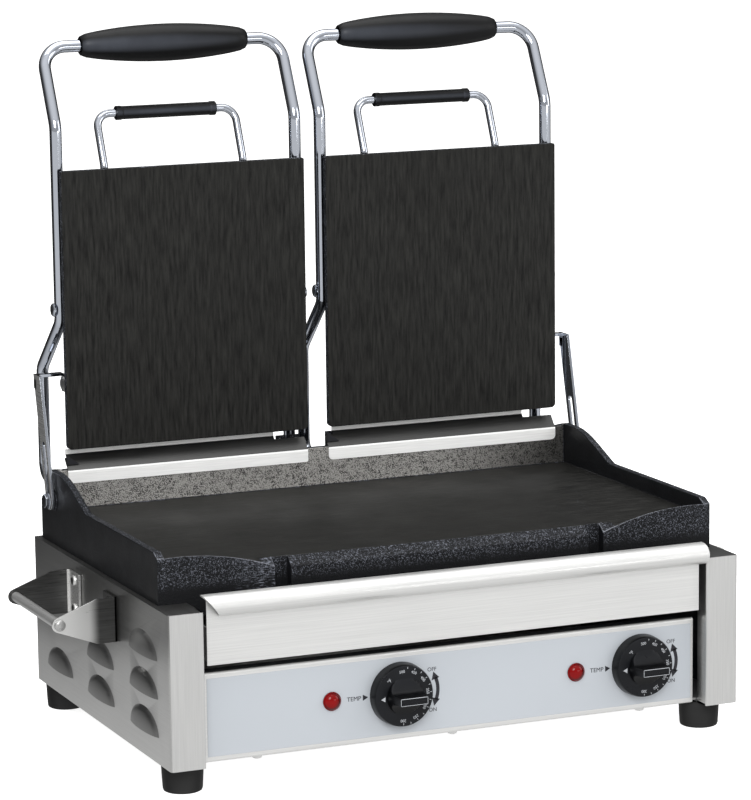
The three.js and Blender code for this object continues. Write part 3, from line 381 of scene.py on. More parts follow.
def rough_iron(colours):
    """Black cast iron with dust on its upper parts and rub marks on the left front block"""
    finish = Finish("Rough cast iron")
    skin = finish.cast(480.0, 1.12)
    dust = finish.maths("MULTIPLY", skin["Grains"], finish.ramp(finish.from_middle("Z"), 0.152, 0.162))
    x = finish.across("X")
    rubbed_part = finish.maths("MULTIPLY", finish.ramp(x, -0.180, -0.150), finish.ramp(x, -0.139, -0.142))
    lines = finish.ramp(finish.grain((160.0, 160.0, 1300.0)), 0.55, 1.0)
    speckled = finish.tones(dust, colours.iron, 1.0, 22.0)
    rubbed = finish.mix(
        finish.maths("MULTIPLY", rubbed_part, lines), speckled, shade(colours.iron, 45.0))
    finish.bump(skin["Height"], 0.55, 0.0006)
    return finish.done(rubbed, finish.patches(30.0, 0.38, 0.55), specular=0.14)


def smooth_iron(colours):
    """The casting's side walls: black and satin"""
    finish = Finish("Smooth cast iron")
    finish.bump(finish.cast(300.0, 1.1)["Height"], 0.2, 0.0004)
    return finish.done(
        finish.tones(finish.patches(60.0), colours.iron, 0.8, 1.4), finish.patches(45.0, 0.30, 0.42),
        specular=0.22)


def edge_highlight_and_wear(colours):
    """Front edges lightened: partly rubbed wear, partly a painted highlight along the bevels"""
    finish = Finish("Iron edge highlight and wear")
    rubbed = finish.cast(300.0, 0.80)["Grains"]
    return finish.done(finish.tones(rubbed, colours.iron, 2.0, 22.0), finish.patches(45.0, 0.35, 0.45))


def worn_iron(colours):
    """Back wall of the casting: bright grains, blackened towards the right"""
    finish = Finish("Worn back wall")
    skin = finish.cast(330.0, 0.80)
    bare = finish.tones(skin["Grains"], colours.worn, 0.12, 1.0)
    blackened = finish.tones(skin["Grains"], colours.worn, 0.04, 0.30)
    finish.bump(skin["Height"], 0.5, 0.0005)
    return finish.done(
        finish.mix(finish.ramp(finish.across("X"), 0.09, 0.23), bare, blackened),
        finish.patches(30.0, 0.36, 0.5), 0.75)


def seasoned_plate(name, colours, stretch, roughness):
    finish = Finish(name)
    grain = finish.grain(stretch)
    streaked = finish.tones(grain, colours.plate, 0.15, 2.3)
    even = finish.tones(grain, colours.plate, 0.4, 1.9)
    finish.bump(grain, 0.25, 0.0002)
    return finish.done(
        finish.mix(finish.patches(7.0), streaked, even),
        finish.satin(roughness - 0.06, roughness + 0.08, grain, 16.0, 0.10), specular=0.16)


def upper_face(colours):
    return seasoned_plate("Upper cooking face", colours, (400.0, 400.0, 40.0), 0.46)


def lower_face(colours):
    return seasoned_plate("Lower cooking face", colours, (40.0, 420.0, 420.0), 0.40)


def panel_face(colours):
    finish = Finish("Panel face")
    finish.feed("Coat Weight", 0.15)
    return finish.done(
        finish.tones(finish.patches(5.0), colours.panel, 0.97, 1.03), finish.patches(700.0, 0.34, 0.42))


def moulded(name, base, roughness, pitch=900.0, glow=1.6, highlight_spread=0.45):
    """Plastic or rubber with a painted highlight along the middle of its round forms and painted shade
    towards their edges
    """
    finish = Finish(name)
    # Painted highlight: the middle tone is lifted by glow, and the edges get half the base as painted shade
    middle = finish.tones(finish.patches(30.0), base, glow, 1.4 * glow)
    finish.bump(finish.patches(pitch), 0.10, 0.0001)
    return finish.done(
        finish.mix(finish.edge_on(0.0, highlight_spread), middle, shade(base, 0.5)),
        finish.patches(60.0, roughness - 0.04, roughness + 0.05), specular=0.20)


def knob_plastic(colours):
    return moulded("Knob plastic", colours.plastic, 0.30)


def grip_plastic(colours):
    return moulded("Grip plastic", shade(colours.plastic, 0.8), 0.40, 1400.0, 9.0, 0.20)


def rubber(colours):
    return moulded("Rubber", colours.rubber, 0.62)


def lamp_lens(colours):
    """Clear red moulding with a glow in its middle as a painted highlight, and painted shade at its rim"""
    finish = Finish("Lamp lens")
    rim = finish.edge_on(0.08, 0.62)
    finish.feed("Emission Color", finish.tones(rim, colours.lens, 2.3, 0.15))
    finish.feed("Emission Strength", finish.patches(140.0, 0.7, 1.0))
    return finish.done(
        finish.tones(rim, colours.lens, 0.25, 0.08), finish.patches(60.0, 0.05, 0.08), specular=0.22)


def ink(name, base):
    finish = Finish(name)
    return finish.done(finish.tones(finish.patches(300.0), base, 0.9, 1.0), finish.patches(200.0, 0.45, 0.55))


def light_ink(colours):
    return ink("Light ink", colours.light_ink)


def dark_ink(colours):
    return ink("Dark ink", colours.dark_ink)


def painted_shade(colours):
    # Painted shade for gaps and hollows
    return ink("Shadowed hollow", colours.hollow)


FINISHES = {make.__name__: make for make in (
    side_steel, front_bracket, rear_bracket, chrome, heated_steel, rough_iron, smooth_iron, edge_highlight_and_wear,
    worn_iron, upper_face, lower_face, panel_face, knob_plastic, grip_plastic, rubber, lamp_lens,
    light_ink, dark_ink, painted_shade)}
made_finishes = {}


def material(name):
    if name not in made_finishes:
        colours = bpy.context.scene.grill_colours
        if name in SHEET_STEELS:
            label = name.replace("_", " ").capitalize()
            made_finishes[name] = brushed_steel(label, colours, *SHEET_STEELS[name])
        else:
            made_finishes[name] = FINISHES[name](colours)
    return made_finishes[name]


# Shapes: each function gives a bmesh of its own. An outline's two numbers and the place along
# an axis are, in order: y, z and x for "x"; x, z and y for "y"; x, y and z for "z".

AXIS_TURN = {
    "x": Matrix.Rotation(pi / 2, 4, "Y"),
    "y": Matrix.Rotation(-pi / 2, 4, "X"),
    "z": Matrix.Identity(4),
}


def at(axis, u, v, along):
    """A point from an outline's two numbers and its place along the axis"""
    return Vector({"x": (along, u, v), "y": (u, along, v), "z": (u, v, along)}[axis])


def kind_of(geometry, kind):
    return [item for item in geometry if isinstance(item, kind)]


def edges_where(shape, test):
    """The edges whose ends both pass a test on their place"""
    return [edge for edge in shape.edges if all(test(vert.co) for vert in edge.verts)]


def faces_where(shape, test):
    """The faces that pass a test on their middle and the way they look"""
    return [face for face in shape.faces if test(face.calc_center_median(), face.normal)]


def moved(shape, vector):
    bmesh.ops.translate(shape, verts=shape.verts[:], vec=vector)
    return shape


def turned_by(shape, matrix):
    bmesh.ops.transform(shape, matrix=matrix, verts=shape.verts[:])
    return shape


def turned(shape, angle, axis="Y"):
    return turned_by(shape, Matrix.Rotation(angle, 4, axis))


def outward(shape):
    bmesh.ops.recalc_face_normals(shape, faces=shape.faces[:])
    return shape


def flipped(shape):
    bmesh.ops.reverse_faces(shape, faces=shape.faces[:])
    return shape


def mirrored(shape):
    bmesh.ops.scale(shape, vec=(-1.0, 1.0, 1.0), verts=shape.verts[:])
    return flipped(shape)


def merged(shape, distance=TINY):
    bmesh.ops.remove_doubles(shape, verts=shape.verts[:], dist=distance)
    return shape


def painted(shape, index, faces=None):
    for face in shape.faces if faces is None else faces:
        face.material_index = index
    return shape


def joined(*shapes):
    """All the shapes in one bmesh"""
    whole = shapes[0]
    for shape in shapes[1:]:
        mesh = bpy.data.meshes.new("part")
        shape.to_mesh(mesh)
        shape.free()
        whole.from_mesh(mesh)
        bpy.data.meshes.remove(mesh)
    return whole


def rounded(shape, geometry, width, segments, affect="EDGES"):
    bmesh.ops.bevel(
        shape, geom=geometry, offset=width, offset_type="OFFSET", segments=segments, profile=0.5,
        affect=affect, clamp_overlap=True, material=-1)
    return shape


def soften(shape, width, segments=2, sharper_than=30.0):
    """Rounds the edges that turn by more than an angle"""
    limit = radians(sharper_than)
    edges = [edge for edge in shape.edges if edge.is_manifold and edge.calc_face_angle() > limit]
    return rounded(shape, edges, width, segments)


def cut_plane(shape, place, normal, clear=False):
    bmesh.ops.bisect_plane(
        shape, geom=shape.verts[:] + shape.edges[:] + shape.faces[:], plane_co=place, plane_no=normal,
        clear_outer=clear)


def cut_at(shape, axis, places):
    normal = at(axis, 0.0, 0.0, 1.0)
    for place in places:
        cut_plane(shape, normal * place, normal)


def drawn_edges(shape, edges, vector):
    """Draws edges on by a vector, and gives the new ones that lead it"""
    made = bmesh.ops.extrude_edge_only(shape, edges=edges)["geom"]
    verts = kind_of(made, BMVert)
    bmesh.ops.translate(shape, verts=verts, vec=vector)
    return [edge for edge in kind_of(made, BMEdge) if all(vert in verts for vert in edge.verts)]


def drawn_faces(shape, faces, vector):
    """Draws faces out by a vector in place of the old ones; gives the new faces and their verts"""
    made = bmesh.ops.extrude_face_region(shape, geom=faces)["geom"]
    bmesh.ops.delete(shape, geom=[face for face in faces if face.is_valid], context="FACES_ONLY")
    verts = kind_of(made, BMVert)
    bmesh.ops.translate(shape, verts=verts, vec=vector)
    return kind_of(made, BMFace), verts


def block(low, high):
    shape = bmesh.new()
    bmesh.ops.create_cube(shape, size=1.0)
    low, high = Vector(low), Vector(high)
    bmesh.ops.scale(shape, vec=high - low, verts=shape.verts[:])
    return moved(shape, (low + high) / 2)


def soft_block(low, high, edge, segments=2):
    return soften(block(low, high), edge, segments)


def lathed(axis, profile, centre=(0.0, 0.0), sides=48):
    """Spins a profile of radius and place along the axis; centre is in the axis's outline plane"""
    shape = bmesh.new()
    verts = [shape.verts.new((radius, 0.0, along)) for radius, along in profile]
    edges = [shape.edges.new(pair) for pair in zip(verts, verts[1:])]
    bmesh.ops.spin(
        shape, geom=verts + edges, cent=(0, 0, 0), axis=(0, 0, 1), dvec=(0, 0, 0),
        angle=2 * pi, steps=sides, use_merge=True, use_duplicate=False)
    turned_by(merged(shape), AXIS_TURN[axis])
    return outward(moved(shape, at(axis, *centre, 0.0)))


def there_and_back(half, middle=()):
    """A closed profile from one half of it, which is mirrored at its middle"""
    return [*half, *middle, *[(radius, -along) for radius, along in reversed(half)], half[0]]


def bar(axis, radius, centre, start, end, edge=0.0004, sides=32):
    """A round bar with slightly broken edges"""
    return lathed(axis, [
        (0.0, start), (radius - edge, start), (radius, start + edge),
        (radius, end - edge), (radius - edge, end), (0.0, end)], centre, sides)


def hexagon(axis, radius, centre, start, end):
    nut = lathed(axis, [(0.0, start), (radius, start), (radius, end), (0.0, end)], centre, 6)
    return soften(nut, 0.0005)


def domed_head(axis, radius, depth, centre, base, way):
    """A domed screw head whose flat side stands on base and looks along way"""
    rise = way * depth
    return lathed(axis, [
        (0.0, base), (radius, base), (radius, base + rise * 0.35), (radius * 0.86, base + rise * 0.72),
        (radius * 0.55, base + rise * 0.94), (0.0, base + rise)], centre, 32)


def loop_edges(shape, points):
    verts = [shape.verts.new(point) for point in points]
    return [shape.edges.new((a, b)) for a, b in zip(verts, verts[1:] + verts[:1])]


def cut_plate(axis, outline, holes, start, end, edge=0.0):
    """A flat plate from its outline and its holes, given in the axis's outline plane"""
    shape = bmesh.new()
    edges = []
    for loop in [outline, *holes]:
        edges += loop_edges(shape, [at(axis, u, v, start) for u, v in loop])
    bmesh.ops.triangle_fill(shape, use_beauty=True, edges=edges)
    bmesh.ops.dissolve_limit(shape, angle_limit=0.01, verts=shape.verts[:], edges=shape.edges[:])
    made = bmesh.ops.extrude_face_region(shape, geom=shape.faces[:])["geom"]
    bmesh.ops.translate(shape, verts=kind_of(made, BMVert), vec=at(axis, 0.0, 0.0, end - start))
    outward(shape)
    return soften(shape, edge) if edge else shape


def arc(centre, radius, first, last, steps=8):
    """Points on an arc, with its angles in degrees"""
    angles = [radians(first + (last - first) * step / steps) for step in range(steps + 1)]
    return [(centre[0] + radius * cos(a), centre[1] + radius * sin(a)) for a in angles]


def circle(centre, radius, steps=20):
    return arc(centre, radius, 0.0, 360.0, steps)[:-1]


def fold_strip(axis, path, start, end):
    """An open strip along a path, with its faces looking to the path's right"""
    shape = bmesh.new()
    verts = [shape.verts.new(at(axis, u, v, start)) for u, v in path]
    edges = [shape.edges.new(pair) for pair in zip(verts, verts[1:])]
    drawn_edges(shape, edges, at(axis, 0.0, 0.0, end - start))
    shape.normal_update()
    (u0, v0), (u1, v1) = path[0], path[1]
    left = at(axis, v0 - v1, u1 - u0, 0.0)
    middle = at(axis, (u0 + u1) / 2, (v0 + v1) / 2, (start + end) / 2)
    nearest = min(shape.faces, key=lambda face: (face.calc_center_median() - middle).length)
    return flipped(shape) if nearest.normal.dot(left) > 0 else shape


def bend_folds(shape, axis, path, radii, steps=6):
    """Rounds the folds of a strip, each to its own outer radius"""
    for (u, v), before, after, radius in zip(path[1:-1], path[:-2], path[2:], radii):
        fold = edges_where(shape, lambda place: (
            at(axis, u, v, place["xyz".index(axis)]) - place).length < TINY)
        first = Vector((u - before[0], v - before[1]))
        second = Vector((after[0] - u, after[1] - v))
        rounded(shape, fold, radius * tan(first.angle(second) / 2), steps)
    return shape


def thick(shape, thickness, edge=0.0):
    """Gives a sheet its thickness, on the side that its faces look away from"""
    shape.normal_update()
    bmesh.ops.solidify(shape, geom=shape.faces[:], thickness=thickness)
    outward(shape)
    return soften(shape, edge, 2, 60.0) if edge else shape


def folded(axis, path, radii, start, end, thickness, steps=6, edge=0.0):
    """A bent sheet: the path is its outer face, and the sheet lies to its left"""
    return thick(bend_folds(fold_strip(axis, path, start, end), axis, path, radii, steps), thickness, edge)


def tube(corners, radii, radius, sides, quarter_steps):
    """A round bar led through its corners as a bender would: straight runs and spun bends"""
    corners = [Vector(corner) for corner in corners]
    shape = bmesh.new()
    bmesh.ops.create_circle(shape, cap_ends=False, radius=radius, segments=sides)
    heading = (corners[1] - corners[0]).normalized()
    turned_by(shape, Vector((0, 0, 1)).rotation_difference(heading).to_matrix().to_4x4())
    place = corners[0]
    ring = moved(shape, place).edges[:]
    for corner, after, bend_radius in zip(corners[1:], [*corners[2:], None], radii[1:]):
        onward = heading if after is None else (after - corner).normalized()
        turn = 0.0 if after is None else heading.angle(onward)
        bend = bend_radius * tan(turn / 2)
        target = corner - heading * bend
        if (target - place).length > TINY:
            ring = drawn_edges(shape, ring, target - place)
            place = target
        if turn > 1e-4:
            axis = heading.cross(onward).normalized()
            made = bmesh.ops.spin(
                shape, geom=ring, cent=place + axis.cross(heading) * bend_radius, axis=axis,
                dvec=(0, 0, 0), angle=turn, steps=max(2, ceil(turn / (pi / 2) * quarter_steps)),
                use_merge=False, use_duplicate=False)
            ring = kind_of(made["geom_last"], BMEdge)
            place, heading = corner + onward * bend, onward
    bmesh.ops.holes_fill(shape, edges=[edge for edge in shape.edges if edge.is_boundary], sides=0)
    return outward(shape)


def lettering(text, height):
    """Flat letters in the panel's upright plane, centred on their middle"""
    curve = bpy.data.curves.new("letters", "FONT")
    curve.body = text
    curve.size = height / CAPITAL_SHARE
    curve.extrude = PRINT_HALF
    curve.align_x = curve.align_y = "CENTER"
    holder = bpy.data.objects.new("letters", curve)
    mesh = bpy.data.meshes.new_from_object(holder)
    shape = bmesh.new()
    shape.from_mesh(mesh)
    bpy.data.objects.remove(holder)
    bpy.data.curves.remove(curve)
    bpy.data.meshes.remove(mesh)
    return turned(outward(merged(shape)), pi / 2, "X")


# Putting pieces in the frame

def put(name, shape, body, finishes, nodes=(), weighted=True):
    """Makes the piece, moves it to the frame's place, ties it to its body and hides the nodes it stands for
    """
    moved(shape, (0.0, FRONT, 0.0))
    mesh = bpy.data.meshes.new(name)
    shape.to_mesh(mesh)
    shape.free()
    mesh.polygons.foreach_set("use_smooth", [True] * len(mesh.polygons))
    mesh.set_sharp_from_angle(angle=radians(SHARP_FROM))
    piece = bpy.data.objects.new(name, mesh)
    bpy.context.scene.collection.objects.link(piece)
    for finish in finishes:
        mesh.materials.append(material(finish))
    if weighted:
        modifier = piece.modifiers.new("Even shading", "WEIGHTED_NORMAL")
        modifier.keep_sharp = True
    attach(piece, body)
    if nodes:
        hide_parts(*nodes)


def put_pair(name, make, body, slot, *finishes, weighted=True):
    """The right piece and its mirror image; the body is named without its side"""
    for side in ("right", "left"):
        shape = make() if side == "right" else mirrored(make())
        own_body = body if body == "base" else f"{side}_{body}"
        put(f"{side}_{name}_visual", shape, own_body, finishes, [f"{side}_{name}"], weighted=weighted)


# Sheet-metal body

def louvre_dome(shape, arc_verts, centre):
    """Presses one louvre out of the sheet: rings drawn in from its arc to the slit's middle"""
    rings, crown_power = 7, 0.62
    ring = [shape.edges.get(pair) for pair in zip(arc_verts, arc_verts[1:])]
    half_length, height = LOUVRE["length"] / 2, LOUVRE["height"]
    for step in range(1, rings + 1):
        factor = (1.0 - step / rings) / (1.0 - (step - 1) / rings)
        ring = drawn_edges(shape, ring, (0.0, 0.0, 0.0))
        for vert in {vert for edge in ring for vert in edge.verts}:
            vert.co.y = centre.y + (vert.co.y - centre.y) * factor
            vert.co.z = centre.z + (vert.co.z - centre.z) * factor
            reach = hypot((vert.co.y - centre.y) / half_length, (vert.co.z - centre.z) / height)
            vert.co.x = centre.x + LOUVRE["bulge"] * max(0.0, 1.0 - reach ** 2) ** crown_power
    merged(shape)


def fold_on(shape, y, moves):
    """Draws the sheet on from its upright edge at y, one fold after another"""
    edges = [edge for edge in edges_where(shape, lambda place: abs(place.y - y) < TINY) if edge.is_boundary]
    for x_move, y_move in moves:
        edges = drawn_edges(shape, edges, (x_move, y_move, 0.0))


def side_skin(sizes):
    """Side sheet with its louvres, its corner post folded at the front and a flange at the back"""
    shape = bmesh.new()
    half, depth = sizes.body_half_width, sizes.body_depth
    margin, post_return, flange = 0.010, 0.015, 0.012
    low, high = sizes.body_bottom, sizes.body_top
    edges = loop_edges(shape, [
        (half, margin, low), (half, depth - margin, low), (half, depth - margin, high), (half, margin, high)])
    domes = []
    for column in range(3):
        for row in range(3 - column):
            centre = Vector((
                half, LOUVRE["y"] + column * LOUVRE["step_y"], LOUVRE["z"] + row * LOUVRE["step_z"]))
            verts = [
                shape.verts.new((half, centre.y + u * LOUVRE["length"] / 2, centre.z + v * LOUVRE["height"]))
                for u, v in arc((0.0, 0.0), 1.0, 0.0, 180.0, 18)]
            edges += [shape.edges.new(pair) for pair in zip(verts, verts[1:] + verts[:1])]
            domes.append((verts, centre))
    bmesh.ops.triangle_fill(shape, use_beauty=True, edges=edges)
    for verts, centre in domes:
        louvre_dome(shape, verts, centre)
    post = half - sizes.post_width
    fold_on(shape, margin, [(0.0, -margin), (post - half, 0.0), (0.0, post_return)])
    fold_on(shape, depth - margin, [(0.0, margin), (-flange, 0.0)])
    for x, y, radius in ((half, 0.0, 0.003), (post, 0.0, 0.0012), (half, depth, 0.0015)):
        rounded(shape, edges_where(
            shape, lambda place: abs(place.x - x) < TINY and abs(place.y - y) < TINY), radius, 5)
    outward(shape)
    widest = max(shape.faces, key=lambda face: face.calc_area())
    return thick(flipped(shape) if widest.normal.x < 0 else shape, SHEET)


def side_panel(sizes):
    """Side sheet, the shelf under the casting's edge, the sill and a dark liner of painted shade behind the
    louvres
    """
    half, depth, low, high = sizes.body_half_width, sizes.body_depth, sizes.body_bottom, sizes.body_top
    post, inner = half - sizes.post_width, half - SHEET
    edge, shelf_start = sizes.casting_half_width + GAP, 0.0365
    skin = painted(side_skin(sizes), 0)
    painted(skin, 1, faces_where(skin, lambda middle, normal: middle.y < 0.004 and middle.x < half - 0.001))
    # The louvre domes take the painted shade finish
    painted(skin, 2, faces_where(skin, lambda middle, normal: middle.x > half + 0.0003))
    shelf = cut_plate("z", [
        (post, SHEET), (inner, SHEET), (inner, depth), (edge, depth), (edge, shelf_start),
        (post, shelf_start)], [], high - SHEET, high)
    sill = block((post, SHEET, low), (inner, depth, low + SHEET))
    # The liner is painted shade: it darkens the louvres' slits
    liner = block((inner - 0.0006, 0.018, low + 0.004), (inner - 0.0001, 0.300, high - 0.006))
    return joined(skin, painted(joined(shelf, sill), 0), painted(liner, 3))


def foot(x, y, sizes):
    top = sizes.body_bottom - GAP
    return lathed("z", [
        (0.0, 0.0022), (0.0115, 0.0022), (0.0125, 0.0), (0.0140, 0.0), (0.0150, 0.0006), (0.0155, 0.0020),
        (0.0160, 0.010), (0.0165, top - 0.0015), (0.0158, top - 0.0004), (0.0150, top), (0.0, top)], (x, y))


def cord_bush():
    return lathed("y", [
        (0.0045, 0.3097), (0.0090, 0.3097), (0.0090, 0.3205), (0.0130, 0.3205), (0.0130, 0.3235),
        (0.0122, 0.3245), (0.0095, 0.3250), (0.0088, 0.3290), (0.0075, 0.3295), (0.0045, 0.3295),
        (0.0045, 0.3097)], (-0.150, 0.062))


# Control panel

def panel_sheet(sizes):
    """Panel folded at its top and bottom, with three screws under it"""
    front, top, low, half = sizes.panel_recess, sizes.panel_top, sizes.body_bottom, sizes.panel_half_width
    back = front + 0.013
    path = [(back, top), (front, top), (front, low), (back, low)]
    sheet = painted(folded("x", path, [0.002, 0.002], -half, half, SHEET, edge=0.0002), 0)
    # Painted shade: the upper fold's top faces are dark, for the gap above the panel
    painted(sheet, 1, faces_where(sheet, lambda middle, normal: normal.z > 0.5 and middle.y > front + 0.002))
    screws = [lathed("z", [
        (0.0, 0.0195), (0.0022, 0.0196), (0.0036, 0.0203), (0.0040, 0.0212), (0.0040, 0.0232), (0.0, 0.0232)],
        (x, front + 0.007), 24) for x in (-0.165, 0.0, 0.165)]
    return joined(sheet, *screws)


def panel_overlay(sizes):
    inset, half = 0.0045, sizes.panel_half_width - 0.0022
    return soft_block(
        (-half, sizes.panel_recess - 0.00025, sizes.body_bottom + inset),
        (half, sizes.panel_recess + 0.0001, sizes.panel_top - inset), 0.0001, 1)


def flat_print(outline):
    return cut_plate("y", outline, [], -PRINT_HALF, PRINT_HALF)


def arrow_head(size):
    return flat_print([(-size / 2, -size * 0.55), (size / 2, 0.0), (-size / 2, size * 0.55)])


def off_on_arc():
    """Thick arc with an arrowhead at each end, printed to the right of the knob"""
    radius, width, start, end = 0.0230, 0.0029, -22.0, 24.0
    outer = arc((0.0, 0.0), radius + width / 2, start, end, 20)
    band = flat_print(outer + arc((0.0, 0.0), radius - width / 2, end, start, 20))
    heads = []
    for angle, way in ((29.0, 1.0), (-27.0, -1.0)):
        spot = radians(angle)
        head = turned(arrow_head(0.0062), -radians(angle + way * 78.0))
        heads.append(moved(head, (radius * cos(spot), 0.0, radius * sin(spot))))
    return joined(band, *heads)


def panel_print(lamp_x, sizes):
    knob_x, z = lamp_x + KNOB_FROM_LAMP, sizes.dial_height
    prints = [
        moved(lettering("TEMP", 0.0036), (lamp_x + 0.0185, 0.0, z - 0.0005)),
        moved(arrow_head(0.0044), (knob_x - 0.0288, 0.0, z - 0.0002)),
        moved(lettering("OFF", 0.0032), (knob_x + 0.0278, 0.0, z + 0.0160)),
        moved(lettering("ON", 0.0032), (knob_x + 0.0283, 0.0, z - 0.0165)),
        moved(off_on_arc(), (knob_x + 0.0098, 0.0, z))]
    return moved(joined(*prints), (0.0, sizes.panel_recess - 0.0003, 0.0))


def knob(sizes):
    """Skirted disc round the Y axis with a domed hub, squeezed to a grip bar in front"""
    back, radius = sizes.panel_recess - GAP, sizes.knob_radius
    face, seat = back - KNOB_DEPTH, back - 0.0016
    disc = lathed("y", [
        (0.0, seat), (radius - 0.002, seat), (radius - 0.002, back), (radius - 0.0003, back),
        (radius, back - 0.0004), (radius - 0.0003, back - 0.0060), (radius - 0.0006, back - 0.0086),
        (radius - 0.0011, face + 0.0004), (radius - 0.0018, face), (0.0, face)], sides=96)
    reach, base, tip, steps = 0.0188, 0.0150, 0.0120, 18
    bar_half, swell, swell_end, swell_power = 0.0032, 0.0108, 0.55, 2.4
    cone = [(base + (tip - base) * step / steps, face - reach * step / steps) for step in range(1, steps + 1)]
    hub = lathed("y", [
        (0.0, face + 0.001), (base, face + 0.001), (base, face), *cone, (0.0, face - reach)], sides=96)
    for vert in hub.verts:
        depth = max(0.0, min(1.0, (face - vert.co.y) / reach))
        flare = bar_half + swell * max(0.0, 1.0 - depth / swell_end) ** swell_power
        vert.co.z = max(-flare, min(flare, vert.co.z))
    outward(merged(hub))
    tip_faces = faces_where(hub, lambda middle, normal: middle.y < face - reach + SMALL)
    for width, sink in ((0.0007, 0.0), (0.0002, -0.0005)):
        bmesh.ops.inset_region(hub, faces=tip_faces, thickness=width, depth=sink, use_even_offset=True)
    return joined(disc, hub)


def round_dial(mark, radius, angle):
    """Sets a mark upright on the dial at an angle, counted from its right side"""
    spot = radians(angle)
    return moved(turned(mark, pi / 2 - spot), (radius * cos(spot), 0.0, radius * sin(spot)))


def knob_marks(sizes):
    """Numbers and ticks round the knob's face, a triangle on the left, and light lines round the grip's tip
    as a painted highlight on its edges
    """
    y = sizes.panel_recess - GAP - KNOB_DEPTH - 0.00005
    labels = {"500": 96.0, "450": 66.0, "400": 38.0, "350": 6.0, "300": -30.0, "250": -62.0, "200": -94.0}
    number_radius, tick_radius, sign_radius, half, tip_half = 0.0196, 0.0224, 0.0182, 0.0114, 0.0029
    marks = [round_dial(lettering(text, 0.0023), number_radius, angle) for text, angle in labels.items()]
    marks.append(round_dial(lettering("°F", 0.0028), sign_radius, 134.0))
    for angle in range(-94, 97, 16):
        tick = block((-0.0002, -PRINT_HALF, -0.0007), (0.0002, PRINT_HALF, 0.0007))
        marks.append(round_dial(tick, tick_radius, angle + 1.0))
    # Painted highlight: light lines along the four edges of the grip's tip
    for left, right, low, high in (
            (-half, half, 0.0025, tip_half), (-half, half, -tip_half, -0.0026),
            (-half, -half + 0.0003, -tip_half, tip_half), (half - 0.0003, half, -tip_half, tip_half)):
        marks.append(block((left, -0.01895, low), (right, -0.01875, high)))
    marks.append(moved(turned(arrow_head(0.0036), pi), (-sign_radius, 0.0, -0.001)))
    return moved(joined(*marks), (0.0, y, 0.0))


def turn_steps(steps, end):
    return [end * step / steps for step in range(steps + 1)]


def pilot_lamp(sizes):
    back, radius, rise = sizes.panel_recess - GAP, 0.0068, 0.0044
    dome = [(radius * cos(a), back - 0.0006 - rise * sin(a)) for a in turn_steps(10, pi / 2)]
    lens = lathed("y", [(0.0, back + 0.0005), (radius, back + 0.0005), *dome])
    stem = bar("y", 0.0056, (0.0, 0.0), back, back + 0.020)
    ring = lathed("y", [
        (0.0064, back - 0.0002), (0.0075, back), (0.0075, back - 0.0008), (0.0070, back - 0.0014),
        (0.0064, back - 0.0012), (0.0064, back - 0.0002)])
    return joined(lens, stem, ring)


# Grease drawer

def drawer_box(sizes):
    low, back = sizes.drawer_bottom, DRAWER_RECESS + THIN_SHEET
    front_half, hidden_top, half, depth, tray_height = 0.2103, 0.013, 0.206, 0.280, 0.027
    front = soft_block(
        (-front_half, DRAWER_RECESS, low), (front_half, back, low + sizes.drawer_height + hidden_top),
        0.0003)
    tray = block((-half, back, low), (half, DRAWER_RECESS + depth, low + tray_height))
    lid = faces_where(tray, lambda middle, normal: normal.z > 0.5)
    bmesh.ops.inset_region(tray, faces=lid, thickness=THIN_SHEET)
    drawn_faces(tray, lid, (0.0, 0.0, THIN_SHEET - tray_height))
    return joined(front, outward(tray))


def rolled_lip(sizes):
    """Half-round roll along the drawer's top edge, with its ends cut on the slant"""
    low, reach, height, end = sizes.drawer_bottom + sizes.drawer_height, 0.011, 0.017, 0.214
    half = height / 2
    roll = [(DRAWER_RECESS - reach * sin(a), low + half + half * cos(a))
            for a in turn_steps(20, pi)]
    shape = fold_strip("x", [(DRAWER_RECESS + 0.003, low + height), *roll], -end, end)
    slant = Vector((-1.0, 0.0, -0.75)).normalized()
    cut_plane(shape, (-end, DRAWER_RECESS, low + height), slant, clear=True)
    return thick(shape, THIN_SHEET, 0.0002)


# Cast lower plate

def bezier(points, steps):
    def at_share(t):
        w = ((1 - t) ** 3, 3 * t * (1 - t) ** 2, 3 * t * t * (1 - t), t ** 3)
        return tuple(sum(k * point[i] for k, point in zip(w, points)) for i in (0, 1))
    return [at_share(step / steps) for step in range(steps + 1)]


def height_along(line, place):
    """Height of a line of (place, height) points, in falling order of place"""
    for (far, high), (near, low) in zip(line, line[1:]):
        if near - TINY <= place <= far + TINY:
            return low + (high - low) * (place - near) / (far - near)
    return line[0][1] if place > line[0][0] else line[-1][1]


def block_height(x, surface):
    """Top of a front corner block: low at its notch, high at the corner"""
    line = bezier([
        (0.2375, surface + 0.009), (0.20533, surface + 0.011),
        (0.17317, surface + 0.0074), (NOTCH[1], surface - 0.006)], 16)
    return height_along(line, abs(x))


